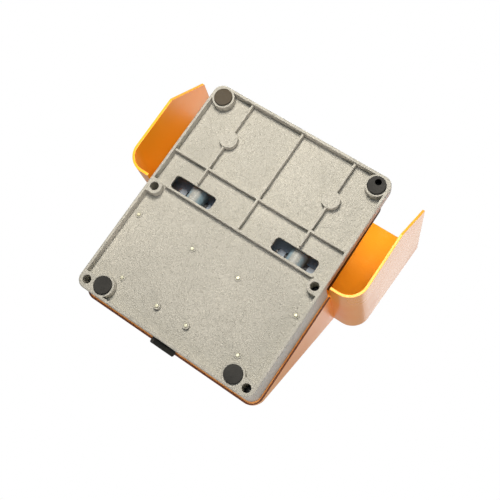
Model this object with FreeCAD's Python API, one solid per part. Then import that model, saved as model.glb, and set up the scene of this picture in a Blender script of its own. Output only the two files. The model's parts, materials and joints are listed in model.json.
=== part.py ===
import FreeCAD, Part

import math
import os

V = FreeCAD.Vector

# A guarded twin-pedal foot switch, in millimetres.
# X runs from the left pedal to the right one, the foot comes in from -Y, Z is up.
# The origin lies on the floor, under the middle of the base casting.

# How far joined bodies run into each other, and how far a cut runs past a face
fuse_overlap = 0.5
cut_past = 1.0

# Base casting: an open tray under the pedals, a deep tub behind it for the switches
base_width = 202.0
base_depth = 242.0
base_corner_radius = 10.0
base_edge_radius = 1.2
casting_wall = 3.0
casting_floor = 3.0
foot_stand_off = 2.0
recess_depth = 8.5
platform_height = 12.8
tub_height = 39.0
tub_front_y = -2.5

# Ribs under the tray floor
rib_height = 6.0
rib_width = 2.0
cross_rib_y = -40.2
divider_rib_y = -4.4
divider_rib_end_gap = 15.5

# Windows in the tray floor below the pedal levers
window_length = 47.6
window_width = 14.2
window_middle_y = -13.7
window_corner_radius = 3.5

# Rubber feet
foot_radius = 9.0
foot_seat_radius = 11.0
foot_seat_depth = 4.0
foot_gap = 0.15
foot_edge_radius = 0.7
front_foot_inset_x = 13.0
rear_foot_inset_x = 25.6
foot_inset_y = 12.2
foot_hole_radius = 3.2
foot_hole_depth = 11.0
foot_hole_offset_y = -3.0

# Screws that hold the cover from below
cover_screw_inset = 8.7
cover_screw_front_y = 2.5
cover_screw_radius = 2.5
cover_screw_head_radius = 4.1
cover_screw_head_height = 3.4
cover_screw_length = 19.0
counterbore_radius = 4.4
counterbore_depth = 22.0
lug_radius = 7.5
lug_shelf = 6.0
lug_column_radius = 6.4
thread_gap = 0.05

# Pedals: cast channels with a half-round lever that reaches into the tub
pedal_inset_x = 42.0
pedal_inset_y = 13.5
pedal_width = 74.0
pedal_rear_y = -9.0
pedal_front_z = 39.0
pedal_rear_z = 45.5
pedal_plate = 3.5
pedal_skirt = 3.0
pedal_skirt_front = 9.0
pedal_skirt_rear = 18.0
pedal_corner_radius = 8.0
pedal_range_degrees = 8.0
lever_radius = 9.0
lever_below_axle = 9.5
lever_rise = 5.0
lever_reach = 29.5
lever_front_reach = 9.0
lever_web_length = 34.0
lever_web_thickness = 12.0
lever_hub_radius = 5.5
lever_window_gap = 0.3

# Rubber treads on the pedals
tread_thickness = 3.0
tread_lip = 1.5
tread_lip_height = 4.0
tread_groove_depth = 1.2
tread_groove_width = 2.4
tread_groove_pitch = 8.0
tread_groove_margin = 9.0
tread_groove_end = 4.5

# Pedal hinges
axle_y = -12.0
axle_z = 35.5
axle_radius = 3.0
axle_clearance = 0.05
axle_end = 3.0
axle_chamfer = 0.4
ear_spacing = 32.9
ear_thickness = 7.1
ear_half_height = 4.6
ear_front_reach = 4.2
ear_edge_radius = 0.8
bracket_plate = 2.5
bracket_end_margin = 2.5
bracket_bottom_z = 15.0
bracket_strap = 5.0
bush_radius = 4.6
bush_end_gap = 0.2
clip_radius = 4.8
clip_thickness = 1.0
clip_gap = 0.2
clip_groove_depth = 0.6
clip_mouth_width = 3.8
hinge_screw_radius = 2.5
hinge_screw_length = 12.0
hinge_screw_head_radius = 3.9
hinge_screw_head_height = 2.6
hinge_boss_radius = 4.8
hinge_boss_length = 7.0
lever_opening_width = 22.0
lever_opening_top_z = 37.0

# Return springs
spring_from_pedal_front = 31.8
spring_mean_radius = 5.5
spring_wire_radius = 0.8
spring_turns = 5.0
spring_cup_radius = 9.0
spring_cup_bore = 7.2
spring_cup_bottom_z = 6.0
spring_cup_skin = 2.0
spring_boss_radius = 7.5
spring_boss_z = 30.0
spring_pin_radius = 3.2
spring_pin_length = 5.0
spring_end_gap = 0.1

# Down stops cast on the tray floor
stop_radius = 5.0
stop_spacing = 50.0
stop_from_pedal_front = 10.6
stop_gap = 0.6

# Switch blocks and the brackets that carry them
switch_length = 50.0
switch_depth = 20.0
switch_height = 25.0
plunger_y = 12.5
plunger_radius = 3.0
plunger_show = 8.0
plunger_tip_radius = 6.0
plunger_gap = 0.3
plunger_travel = 3.5
plunger_end_gap = 1.0
plunger_collar_radius = 5.4
plunger_collar_height = 1.5
plunger_socket_depth = 10.0
plunger_clearance = 0.05
switch_edge_radius = 1.0
switch_screw_spacing = 36.0
bracket_sheet = 2.5
switch_bracket_length = 57.0
switch_leg_front_y = 26.0
switch_leg_rear_y = 40.0
bracket_screw_spacing = 64.8
bracket_screw_y = 33.0
bracket_rear_screw_offset_x = 8.4
bracket_rear_screw_inset_y = 28.7
bracket_foot_half_width = 6.5
rear_strap_half_width = 7.0
small_screw_radius = 2.0
small_screw_head_radius = 3.6
small_screw_head_height = 2.2
small_screw_tip = 1.0
small_screw_depth = 8.0
screw_tip_gap = 0.5
screw_boss_radius = 3.3
bracket_boss_height = 0.6
block_boss_height = 3.0

# Terminal block and earth screw
terminal_screw_left_x = -22.0
terminal_screw_right_x = 12.0
terminal_screw_inset_y = 24.6
terminal_block_depth = 18.0
terminal_block_height = 19.0
terminal_block_end = 7.0
terminal_foot_height = 6.0
terminal_shoulder = 2.0
terminal_ways = 3
clamp_screw_radius = 2.4
clamp_screw_depth = 3.0
clamp_screw_sink = 0.6
clamp_screw_gap = 0.2
clamp_slot_width = 0.8
clamp_slot_depth = 1.0
earth_offset_x = -17.0
earth_inset_y = 17.0
earth_boss_radius = 5.0
earth_boss_height = 5.0
earth_screw_radius = 2.0
earth_head_radius = 4.0
earth_head_height = 3.0
earth_washer_radius = 5.0
earth_washer_thickness = 1.0
earth_screw_length = 6.0

# Plug in the cable entry
entry_below_rim = 15.0
entry_radius = 10.0
plug_across_flats = 24.0
plug_head = 4.5
plug_corner_chamfer = 1.6
plug_socket_radius = 5.0
plug_socket_depth = 2.0
plug_shank_length = 9.0
plug_washer_radius = 13.0
plug_washer_thickness = 1.5
locknut_thickness = 4.5
locknut_across_flats = 24.0

# Rear cover: a hollow wedge that closes the tub
cover_overhang = 3.0
cover_wall = 3.0
cover_top_z = 138.8
cover_lip_height = 5.2
cover_skirt_depth = 3.2
cover_skirt_gap = 1.4
cover_fit_gap = 0.3
cover_ledge_width = 8.0
cover_ledge_thickness = 3.0
cover_edge_radius = 4.0
cover_corner_radius = 13.0
cover_pillar_radius = 5.2
cover_pillar_web = 6.0
cover_pillar_web_thickness = 5.2
gasket_thickness = 1.5
gasket_inset = 0.5

# Guard hood over the pedals
hood_overhang = 32.5
hood_sheet = 2.5
hood_bottom_z = 2.4
hood_front_reach = 2.5
hood_chamfer_length = 43.0
hood_nose_z = 41.0
hood_front_roof_z = 173.0
hood_rear_roof_z = 138.5
hood_corner_radius = 20.0
hood_edge_radius = 6.0
hood_side_gap = 1.0
hood_sill_gap = 1.0
hood_screw_inset = 11.0
hood_screw_low_z = 76.0
hood_screw_high_z = 114.0
hood_screw_radius = 2.5
hood_screw_head_radius = 5.0
hood_screw_head_height = 2.8
hood_screw_length = 11.0
hood_boss_radius = 5.5
hood_boss_length = 9.0

# Places that follow from the sizes above
rim_z = foot_stand_off
half_width = base_width / 2
half_depth = base_depth / 2
floor_under_z = rim_z + recess_depth
floor_top_z = floor_under_z + casting_floor
platform_z = rim_z + platform_height
tub_z = rim_z + tub_height
screw_seat_z = rim_z + counterbore_depth
lug_top_z = screw_seat_z + lug_shelf
front_foot_x = half_width - front_foot_inset_x
rear_foot_x = half_width - rear_foot_inset_x
front_foot_y = -half_depth + foot_inset_y
rear_foot_y = half_depth - foot_inset_y
cover_screw_x = half_width - cover_screw_inset
cover_screw_rear_y = half_depth - cover_screw_inset
divider_rib_half_length = half_width - divider_rib_end_gap
inner_half_width = half_width - casting_wall
inner_half_depth = half_depth - casting_wall
tub_inner_front_y = tub_front_y + casting_wall
entry_z = tub_z - entry_below_rim

pedal_middle_x = half_width - pedal_inset_x
pedal_front_y = -half_depth + pedal_inset_y
spring_y = pedal_front_y + spring_from_pedal_front
stop_y = pedal_front_y + stop_from_pedal_front
lever_round_z = axle_z - lever_below_axle
lever_top_z = lever_round_z + lever_rise
lever_bottom_z = lever_round_z - lever_radius
lever_rear_y = axle_y + lever_reach
lever_sill_z = lever_bottom_z - lever_window_gap

bracket_face_y = tub_front_y - bracket_plate
ear_inner = (ear_spacing - ear_thickness) / 2
ear_outer = (ear_spacing + ear_thickness) / 2
ear_bottom_z = axle_z - ear_half_height
ear_top_z = axle_z + ear_half_height
axle_half_length = ear_outer + axle_end
hinge_screw_offset = ear_spacing / 2
hinge_screw_z = (bracket_bottom_z + ear_bottom_z) / 2
bracket_half_width = ear_outer + bracket_end_margin

plunger_tip_z = lever_top_z + plunger_gap
switch_bottom_z = plunger_tip_z + plunger_show
switch_top_z = switch_bottom_z + switch_height
deck_top_z = switch_top_z + bracket_sheet
bracket_rear_screw_x = pedal_middle_x + bracket_rear_screw_offset_x
bracket_rear_screw_y = half_depth - bracket_rear_screw_inset_y
terminal_screw_y = half_depth - terminal_screw_inset_y
earth_x = pedal_middle_x + earth_offset_x
earth_y = half_depth - earth_inset_y

cover_seat_z = tub_z + gasket_thickness
cover_rear_y = half_depth + cover_overhang
cover_half_width = half_width + cover_overhang
cover_skirt_z = cover_seat_z - cover_skirt_depth
cover_rear_z = cover_skirt_z + cover_lip_height
cover_fall = (cover_top_z - cover_rear_z) / (cover_rear_y - tub_front_y)

hood_half_width = half_width + hood_overhang
hood_front_y = -half_depth - hood_front_reach
hood_chamfer_y = hood_front_y + hood_chamfer_length
hood_screw_x = half_width - hood_screw_inset


def block(x0, x1, y0, y1, z0, z1):
    """A box between two opposite corners."""
    return Part.makeBox(x1 - x0, y1 - y0, z1 - z0, V(x0, y0, z0))


def post(x, y, z0, z1, radius):
    """An upright round bar."""
    return Part.makeCylinder(radius, z1 - z0, V(x, y, z0))


def rod_along_x(x0, x1, y, z, radius):
    """A round bar from left to right."""
    return Part.makeCylinder(radius, x1 - x0, V(x0, y, z), V(1, 0, 0))


def rod_along_y(x, y0, y1, z, radius):
    """A round bar from front to rear."""
    return Part.makeCylinder(radius, y1 - y0, V(x, y0, z), V(0, 1, 0))


def side_profile(outline, x0, x1):
    """An outline given in Y and Z, made solid from x0 to x1."""
    corners = [V(x0, y, z) for y, z in outline]
    face = Part.Face(Part.makePolygon(corners + corners[:1]))
    return face.extrude(V(x1 - x0, 0, 0))


def is_upright(edge):
    """Whether a straight edge runs along Z."""
    if len(edge.Vertexes) != 2:
        return False
    step = edge.Vertexes[1].Point - edge.Vertexes[0].Point
    return abs(step.x) < 1e-6 and abs(step.y) < 1e-6


def rounded_block(x0, x1, y0, y1, z0, z1, radius, rear_only=False, front_only=False):
    """A box with its upright edges rounded, all of them or those of one end."""
    box = block(x0, x1, y0, y1, z0, z1)
    middle_y = (y0 + y1) / 2
    edges = [edge for edge in box.Edges if is_upright(edge)]
    if rear_only:
        edges = [edge for edge in edges if edge.CenterOfMass.y > middle_y]
    if front_only:
        edges = [edge for edge in edges if edge.CenterOfMass.y < middle_y]
    return box.makeFillet(radius, edges)


def edges_at_height(shape, z):
    """The edges that lie wholly at one height."""
    return [edge for edge in shape.Edges if all(abs(v.Point.z - z) < 1e-4 for v in edge.Vertexes)]


def hexagon_along_y(x, z, y0, y1, across_flats):
    """A six-sided bar from front to rear, with a corner at each side."""
    corner_radius = across_flats / math.sqrt(3)
    angles = [math.radians(60 * turn) for turn in range(7)]
    corners = [V(x + corner_radius * math.cos(a), y0, z + corner_radius * math.sin(a)) for a in angles]
    return Part.Face(Part.makePolygon(corners)).extrude(V(0, y1 - y0, 0))


def mirrored(shape):
    """The same shape on the left side."""
    return shape.mirror(V(0, 0, 0), V(1, 0, 0))


def joined(shapes):
    """Several overlapping shapes as one solid."""
    whole = shapes[0]
    for shape in shapes[1:]:
        whole = whole.fuse(shape)
    return whole


def export(shape, name):
    """Write one sub-part, with faces that lie in one surface merged."""
    shape.removeSplitter().exportStep("parts/" + name + ".step")


def export_pair(right_shape, name):
    """Write a sub-part of the right pedal and its mirror image on the left."""
    export(right_shape, name + "_right")
    export(mirrored(right_shape), name + "_left")


def foot_places():
    """Middles of the four feet."""
    return {
        "front_left": (-front_foot_x, front_foot_y),
        "front_right": (front_foot_x, front_foot_y),
        "rear_left": (-rear_foot_x, rear_foot_y),
        "rear_right": (rear_foot_x, rear_foot_y),
    }


def bracket_screw_places():
    """Middles of the three screws of the right switch bracket."""
    half = bracket_screw_spacing / 2
    return [
        (pedal_middle_x - half, bracket_screw_y),
        (pedal_middle_x + half, bracket_screw_y),
        (bracket_rear_screw_x, bracket_rear_screw_y),
    ]


def terminal_screw_places():
    """Middles of the two screws of the terminal block."""
    return [(terminal_screw_left_x, terminal_screw_y), (terminal_screw_right_x, terminal_screw_y)]


def cover_screw_places():
    """Middles of the four screws that hold the cover."""
    columns = (-cover_screw_x, cover_screw_x)
    rows = (cover_screw_front_y, cover_screw_rear_y)
    return [(x, y) for x in columns for y in rows]


def base_blank():
    """The casting's outer form, with the tray lower than the tub."""
    sides = (-half_width, half_width, -half_depth, half_depth)
    platform = rounded_block(*sides, rim_z, platform_z, base_corner_radius)
    rim_edges = edges_at_height(platform, rim_z) + edges_at_height(platform, platform_z)
    platform = platform.makeFillet(base_edge_radius, rim_edges)
    tub = rounded_block(*sides, platform_z - casting_floor, tub_z, base_corner_radius)
    rear_half = block(-base_width, base_width, tub_front_y, base_depth, rim_z, tub_z)
    return joined([platform, tub.common(rear_half)])


def base_hollows():
    """The recess below, the tray in front and the tub behind."""
    inner_radius = base_corner_radius - casting_wall
    sides = (-inner_half_width, inner_half_width)
    recess = rounded_block(
        *sides, -inner_half_depth, inner_half_depth, rim_z - cut_past, floor_under_z, inner_radius
    )
    tray_top = platform_z + cut_past
    tray = rounded_block(
        *sides, -inner_half_depth, tub_front_y, floor_top_z, tray_top, inner_radius, front_only=True
    )
    tub_top = tub_z + cut_past
    tub = rounded_block(
        *sides, tub_inner_front_y, inner_half_depth, floor_top_z, tub_top, inner_radius, rear_only=True
    )
    return [recess, tray, tub]


def base_ribs():
    """The stiffening ribs on the underside."""
    z0, z1 = floor_under_z - rib_height, floor_under_z + fuse_overlap
    half_rib = rib_width / 2
    front = -inner_half_depth - fuse_overlap
    side = inner_half_width + fuse_overlap
    window_front_y = window_middle_y - window_width / 2
    divider_y0, divider_y1 = divider_rib_y - half_rib, divider_rib_y + half_rib
    ribs = [
        block(-side, side, cross_rib_y - half_rib, cross_rib_y + half_rib, z0, z1),
        block(-divider_rib_half_length, divider_rib_half_length, divider_y0, divider_y1, z0, z1),
        block(-half_rib, half_rib, front, divider_rib_y, z0, z1),
    ]
    for x in (-pedal_middle_x, pedal_middle_x):
        ribs.append(block(x - half_rib, x + half_rib, front, window_front_y - rib_width, z0, z1))
    return ribs


def base_pads():
    """Foot seats, screw lugs and the solid corners between them and the rim."""
    top = floor_under_z + fuse_overlap
    pads = []
    for side in (-1, 1):
        edge = side * half_width
        foot_x = side * front_foot_x
        rear_x = side * rear_foot_x
        screw_x = side * cover_screw_x
        low_x, high_x = sorted((foot_x, edge))
        pads.append(post(foot_x, front_foot_y, rim_z, top, foot_seat_radius))
        pads.append(block(low_x, high_x, -half_depth, front_foot_y, rim_z, top))
        low_x, high_x = sorted((rear_x, edge))
        pads.append(post(rear_x, rear_foot_y, rim_z, top, foot_seat_radius))
        pads.append(block(low_x, high_x, cover_screw_rear_y - lug_radius, half_depth, rim_z, top))
        low_x, high_x = sorted((screw_x, edge))
        for y in (cover_screw_front_y, cover_screw_rear_y):
            pads.append(post(screw_x, y, rim_z, floor_top_z, lug_radius))
            pads.append(block(low_x, high_x, y - lug_radius, y + lug_radius, rim_z, floor_top_z))
            pads.append(post(screw_x, y, rim_z, lug_top_z, lug_column_radius))
            pads.append(block(low_x, high_x, y - lug_column_radius, y + lug_column_radius, rim_z, lug_top_z))
    inset = casting_wall / 2
    sides = (-half_width + inset, half_width - inset, -half_depth + inset, half_depth - inset)
    outline = rounded_block(*sides, rim_z, tub_z, base_corner_radius - inset)
    return [pad.common(outline) for pad in pads]


def base_bosses():
    """Spring cups, stops, screw bosses and the earth boss."""
    bosses = []
    inside_floor = floor_under_z + fuse_overlap
    for side in (-1, 1):
        x = side * pedal_middle_x
        cup_bottom = spring_cup_bottom_z - spring_cup_skin
        bosses.append(post(x, spring_y, cup_bottom, inside_floor, spring_cup_radius))
        for offset in (-stop_spacing / 2, stop_spacing / 2):
            bosses.append(post(x + offset, stop_y, inside_floor, stop_top_z(), stop_radius))
        for offset in (-hinge_screw_offset, hinge_screw_offset):
            start = tub_front_y + casting_wall / 2
            end = tub_front_y + hinge_boss_length + casting_wall
            bosses.append(rod_along_y(x + offset, start, end, hinge_screw_z, hinge_boss_radius))
        for screw_x, screw_y in bracket_screw_places():
            start = floor_under_z - bracket_boss_height
            bosses.append(post(side * screw_x, screw_y, start, inside_floor, screw_boss_radius))
    for screw_x, screw_y in terminal_screw_places():
        start = floor_under_z - block_boss_height
        bosses.append(post(screw_x, screw_y, start, inside_floor, screw_boss_radius))
    bosses.append(post(earth_x, earth_y, inside_floor, earth_boss_z(), earth_boss_radius))
    return bosses


def foot_sockets():
    """The seats of the four feet and the fixing hole above one of them."""
    bottom, top = rim_z - cut_past, rim_z + foot_seat_depth
    sockets = [post(x, y, bottom, top, foot_radius + foot_gap) for x, y in foot_places().values()]
    return sockets + [foot_hole()]


def pedal_openings():
    """The window, the spring cup, the lever's way into the tub and the bracket's screw holes."""
    window_y = (window_middle_y - window_width / 2, window_middle_y + window_width / 2)
    lever_way_y = (tub_front_y - cut_past, tub_inner_front_y + cut_past)
    lever_way_z = (lever_sill_z, lever_opening_top_z)
    screw_y = (tub_front_y - cut_past, bracket_face_y + hinge_screw_length + screw_tip_gap)
    screw_radius = hinge_screw_radius + thread_gap
    top = floor_top_z + cut_past
    openings = []
    for x in (-pedal_middle_x, pedal_middle_x):
        window_x = (x - window_length / 2, x + window_length / 2)
        lever_way_x = (x - lever_opening_width / 2, x + lever_opening_width / 2)
        openings.append(rounded_block(*window_x, *window_y, rim_z, top, window_corner_radius))
        openings.append(post(x, spring_y, spring_cup_bottom_z, top, spring_cup_bore))
        openings.append(block(*lever_way_x, *lever_way_y, *lever_way_z))
        for offset in (-hinge_screw_offset, hinge_screw_offset):
            openings.append(rod_along_y(x + offset, *screw_y, hinge_screw_z, screw_radius))
    return openings


def cover_screw_holes():
    """Counterbores from below and the holes above them."""
    holes = []
    for x, y in cover_screw_places():
        holes.append(post(x, y, rim_z - cut_past, screw_seat_z, counterbore_radius))
        holes.append(post(x, y, screw_seat_z, tub_z + cut_past, cover_screw_radius + thread_gap))
    return holes


def small_screw_holes():
    """Holes of the switch bracket's, the terminal block's and the earth screws."""
    places = terminal_screw_places()
    for x, y in bracket_screw_places():
        places += [(-x, y), (x, y)]
    radius = small_screw_radius + thread_gap
    holes = [post(x, y, rim_z, floor_top_z + cut_past, radius) for x, y in places]
    earth_bottom = earth_boss_z() - earth_screw_length
    earth_radius = earth_screw_radius + thread_gap
    holes.append(post(earth_x, earth_y, earth_bottom, earth_boss_z() + cut_past, earth_radius))
    return holes


def cable_entry():
    """The round hole in the rear wall for the plug."""
    y0, y1 = inner_half_depth - cut_past, half_depth + cut_past
    return rod_along_y(0, y0, y1, entry_z, entry_radius + thread_gap)


def base_holes():
    """Everything that is bored or cut through the casting."""
    return foot_sockets() + pedal_openings() + cover_screw_holes() + small_screw_holes() + [cable_entry()]


def earth_boss_z():
    """Top of the earth boss."""
    return floor_top_z + earth_boss_height


def pedal_slope():
    """Rise of the pedal's top per millimetre towards the rear."""
    return (pedal_rear_z - pedal_front_z) / (pedal_rear_y - pedal_front_y)


def pedal_top_z(y):
    """Height of the pedal plate's top face at a distance along the pedal."""
    return pedal_front_z + (y - pedal_front_y) * pedal_slope()


def pressed_z(y, z):
    """Height at which a point of the pedal ends when the pedal is fully down."""
    turn = math.radians(pedal_range_degrees)
    return axle_z + (z - axle_z) * math.cos(turn) + (y - axle_y) * math.sin(turn)


def stop_top_z():
    """The stops end just below the plate's underside with the pedal down."""
    front_y = stop_y - stop_radius
    return pressed_z(front_y, pedal_top_z(front_y) - pedal_plate) - stop_gap


def base_casting():
    """The die-cast base."""
    shape = base_blank()
    for hollow in base_hollows():
        shape = shape.cut(hollow)
    shape = joined([shape] + base_ribs() + base_pads() + base_bosses())
    for hole in base_holes():
        shape = shape.cut(hole)
    return shape


def foot(place):
    """One rubber foot, pressed into its seat."""
    x, y = foot_places()[place]
    body = post(x, y, 0, rim_z + foot_seat_depth, foot_radius)
    body = body.makeFillet(foot_edge_radius, edges_at_height(body, 0))
    if place == "front_right":
        body = body.cut(foot_hole())
    return body


def foot_hole():
    """The fixing hole through the front right foot, blind in the casting above it."""
    x, y = foot_places()["front_right"]
    return post(x, y + foot_hole_offset_y, -cut_past, foot_hole_depth, foot_hole_radius)


def sloping_outline(front_y, rear_y, rise, front_depth, rear_depth):
    """A side view that follows the pedal's slope, between a rise above it and two depths below."""
    return [
        (front_y, pedal_top_z(front_y) + rise),
        (rear_y, pedal_top_z(rear_y) + rise),
        (rear_y, pedal_top_z(rear_y) - rear_depth),
        (front_y, pedal_top_z(front_y) - front_depth),
    ]


def pedal():
    """The right pedal: plate, skirts, lever, spring boss and the bore for its axle."""
    half = pedal_width / 2
    x0, x1 = pedal_middle_x - half, pedal_middle_x + half
    outline = sloping_outline(pedal_front_y, pedal_rear_y, 0, pedal_skirt_front, pedal_skirt_rear)
    outer = side_profile(outline, x0, x1).common(pedal_plan(0, pedal_rear_y))
    inner_front = pedal_front_y + pedal_skirt
    inner_rear = pedal_rear_y + cut_past
    inner = side_profile(
        [
            (inner_front, pedal_top_z(inner_front) - pedal_plate),
            (inner_rear, pedal_top_z(inner_rear) - pedal_plate),
            (inner_rear, 0),
            (inner_front, 0),
        ],
        x0 + pedal_skirt,
        x1 - pedal_skirt,
    )
    shell = outer.cut(inner)
    boss_top = pedal_top_z(spring_y) - pedal_plate / 2
    boss = post(pedal_middle_x, spring_y, spring_boss_z, boss_top, spring_boss_radius)
    pin = post(pedal_middle_x, spring_y, spring_boss_z - spring_pin_length, boss_top, spring_pin_radius)
    shape = joined([shell, boss, pin, pedal_lever()])
    bore_half = lever_radius + cut_past
    bore_x = (pedal_middle_x - bore_half, pedal_middle_x + bore_half)
    return shape.cut(rod_along_x(*bore_x, axle_y, axle_z, axle_radius + axle_clearance))


def pedal_plan(margin, rear_y):
    """The right pedal's outline from above, with rounded front corners, as a tall block."""
    half = pedal_width / 2 + margin
    x0, x1 = pedal_middle_x - half, pedal_middle_x + half
    radius = pedal_corner_radius + margin
    return rounded_block(x0, x1, pedal_front_y - margin, rear_y, 0, cover_top_z, radius, front_only=True)


def pedal_lever():
    """The half-round lever, the hub around the axle and the web that joins both to the plate."""
    x0, x1 = pedal_middle_x - lever_radius, pedal_middle_x + lever_radius
    bar_front_y = axle_y - lever_front_reach
    bar = rod_along_y(pedal_middle_x, bar_front_y, lever_rear_y, lever_round_z, lever_radius)
    flat_top = block(x0, x1, bar_front_y, lever_rear_y, lever_round_z, lever_top_z)
    trim = block(x0, x1, bar_front_y, lever_rear_y, lever_bottom_z, lever_top_z)
    hub = rod_along_x(x0, x1, axle_y, axle_z, lever_hub_radius)
    web_front_y = pedal_rear_y - lever_web_length
    half_web = lever_web_thickness / 2
    web = side_profile(
        [
            (bar_front_y, lever_round_z),
            (pedal_rear_y, lever_round_z),
            (pedal_rear_y, pedal_top_z(pedal_rear_y) - pedal_plate / 2),
            (web_front_y, pedal_top_z(web_front_y) - pedal_plate / 2),
        ],
        pedal_middle_x - half_web,
        pedal_middle_x + half_web,
    )
    return joined([bar.common(trim), flat_top, web, hub])


def tread():
    """The rubber tread, drawn over the edges of the right pedal."""
    half = pedal_width / 2
    x0, x1 = pedal_middle_x - half, pedal_middle_x + half
    front_y, rear_y = pedal_front_y - tread_lip, pedal_rear_y
    outline = sloping_outline(front_y, rear_y, tread_thickness, tread_lip_height, tread_lip_height)
    slab = side_profile(outline, x0 - tread_lip, x1 + tread_lip).common(pedal_plan(tread_lip, rear_y))
    seat_rear_y = rear_y + cut_past
    seat_outline = sloping_outline(pedal_front_y, seat_rear_y, 0, pedal_skirt_rear, pedal_skirt_rear)
    seat = side_profile(seat_outline, x0, x1).common(pedal_plan(0, seat_rear_y))
    return slab.cut(seat).cut(tread_grooves(x0, x1, front_y, rear_y))


def tread_grooves(x0, x1, front_y, rear_y):
    """Anti-slip grooves across the tread."""
    room = rear_y - front_y - 2 * tread_groove_margin
    count = int(room // tread_groove_pitch) + 1
    first_y = (front_y + rear_y - (count - 1) * tread_groove_pitch) / 2
    groove_x = (x0 + tread_groove_end, x1 - tread_groove_end)
    half_groove = tread_groove_width / 2
    grooves = []
    for number in range(count):
        y = first_y + number * tread_groove_pitch
        top = pedal_top_z(y) + tread_thickness
        grooves.append(
            block(*groove_x, y - half_groove, y + half_groove, top - tread_groove_depth, top + cut_past)
        )
    return Part.makeCompound(grooves)


def hinge_bracket():
    """Steel bracket on the tub's front wall, with two bearing ears for the right axle."""
    left, right = pedal_middle_x - bracket_half_width, pedal_middle_x + bracket_half_width
    plate = block(left, right, bracket_face_y, tub_front_y, bracket_bottom_z, ear_top_z)
    opening_half = lever_opening_width / 2
    gate = block(
        pedal_middle_x - opening_half,
        pedal_middle_x + opening_half,
        bracket_face_y - cut_past,
        tub_front_y + cut_past,
        bracket_bottom_z - cut_past,
        ear_top_z - bracket_strap,
    )
    shape = joined([plate.cut(gate)] + bracket_ears())
    shape = shape.cut(rod_along_x(left, right, axle_y, axle_z, axle_radius + axle_clearance))
    for offset in (-hinge_screw_offset, hinge_screw_offset):
        hole_y = (bracket_face_y - cut_past, tub_front_y + cut_past)
        radius = hinge_screw_radius + thread_gap
        shape = shape.cut(rod_along_y(pedal_middle_x + offset, *hole_y, hinge_screw_z, radius))
    return shape


def bracket_ears():
    """The two bearing ears, with the edges of their front face rounded."""
    front_y = axle_y - ear_front_reach
    rear_y = bracket_face_y + bracket_plate / 2
    ears = []
    for middle in (pedal_middle_x - ear_spacing / 2, pedal_middle_x + ear_spacing / 2):
        ear_x = (middle - ear_thickness / 2, middle + ear_thickness / 2)
        ear = block(*ear_x, front_y, rear_y, ear_bottom_z, ear_top_z)
        front_edges = [edge for edge in ear.Edges if edge.CenterOfMass.y < front_y + fuse_overlap]
        ears.append(ear.makeFillet(ear_edge_radius, front_edges))
    return ears


def hinge_pin():
    """The right axle, with a groove near each end for its clip."""
    ends = (pedal_middle_x - axle_half_length, pedal_middle_x + axle_half_length)
    pin = rod_along_x(*ends, axle_y, axle_z, axle_radius)
    pin = pin.makeChamfer(axle_chamfer, [edge for edge in pin.Edges if len(edge.Vertexes) == 1])
    groove_radius = axle_radius - clip_groove_depth
    for side in (-1, 1):
        x0, x1 = clip_span(side)
        ring = rod_along_x(x0, x1, axle_y, axle_z, axle_radius + cut_past)
        core = rod_along_x(x0 - cut_past, x1 + cut_past, axle_y, axle_z, groove_radius)
        pin = pin.cut(ring.cut(core))
    return pin


def clip_span(side):
    """Where a clip's groove lies along the right axle."""
    near = ear_outer + clip_gap
    far = near + clip_thickness + clip_gap
    return sorted((pedal_middle_x + side * near, pedal_middle_x + side * far))


def axle_clips():
    """The two retaining clips of the right axle."""
    bore_radius = axle_radius - clip_groove_depth + thread_gap
    half_mouth = clip_mouth_width / 2
    clips = []
    for side in (-1, 1):
        x0, x1 = clip_span(side)
        x0, x1 = x0 + clip_gap / 2, x1 - clip_gap / 2
        cut_x = (x0 - cut_past, x1 + cut_past)
        disc = rod_along_x(x0, x1, axle_y, axle_z, clip_radius)
        bore = rod_along_x(*cut_x, axle_y, axle_z, bore_radius)
        mouth_top = axle_z + clip_radius + cut_past
        mouth = block(*cut_x, axle_y - half_mouth, axle_y + half_mouth, axle_z, mouth_top)
        clips.append(disc.cut(bore).cut(mouth))
    return Part.makeCompound(clips)


def hinge_bushes():
    """Two spacer bushes between the right lever's hub and the ears."""
    near = lever_radius + bush_end_gap
    far = ear_inner - bush_end_gap
    bushes = []
    for side in (-1, 1):
        x0, x1 = sorted((pedal_middle_x + side * near, pedal_middle_x + side * far))
        tube = rod_along_x(x0, x1, axle_y, axle_z, bush_radius)
        bore = rod_along_x(x0 - cut_past, x1 + cut_past, axle_y, axle_z, axle_radius + axle_clearance)
        bushes.append(tube.cut(bore))
    return Part.makeCompound(bushes)


def screw_along_y(x, head_face_y, z, radius, length, head_radius, head_height):
    """A pan-head screw that goes in towards the rear."""
    shank = rod_along_y(x, head_face_y, head_face_y + length, z, radius)
    head = rod_along_y(x, head_face_y - head_height, head_face_y, z, head_radius)
    return joined([shank, head])


def screw_down(x, y, seat_z, radius, length, head_radius, head_height):
    """A pan-head screw driven downwards onto its seat."""
    shank = post(x, y, seat_z - length, seat_z, radius)
    head = post(x, y, seat_z, seat_z + head_height, head_radius)
    return joined([shank, head])


def hinge_screws():
    """Four screws that hold the hinge brackets to the tub."""
    screws = []
    for side in (-1, 1):
        for offset in (-hinge_screw_offset, hinge_screw_offset):
            screws.append(
                screw_along_y(
                    side * pedal_middle_x + offset,
                    bracket_face_y,
                    hinge_screw_z,
                    hinge_screw_radius,
                    hinge_screw_length,
                    hinge_screw_head_radius,
                    hinge_screw_head_height,
                )
            )
    return Part.makeCompound(screws)


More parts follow.
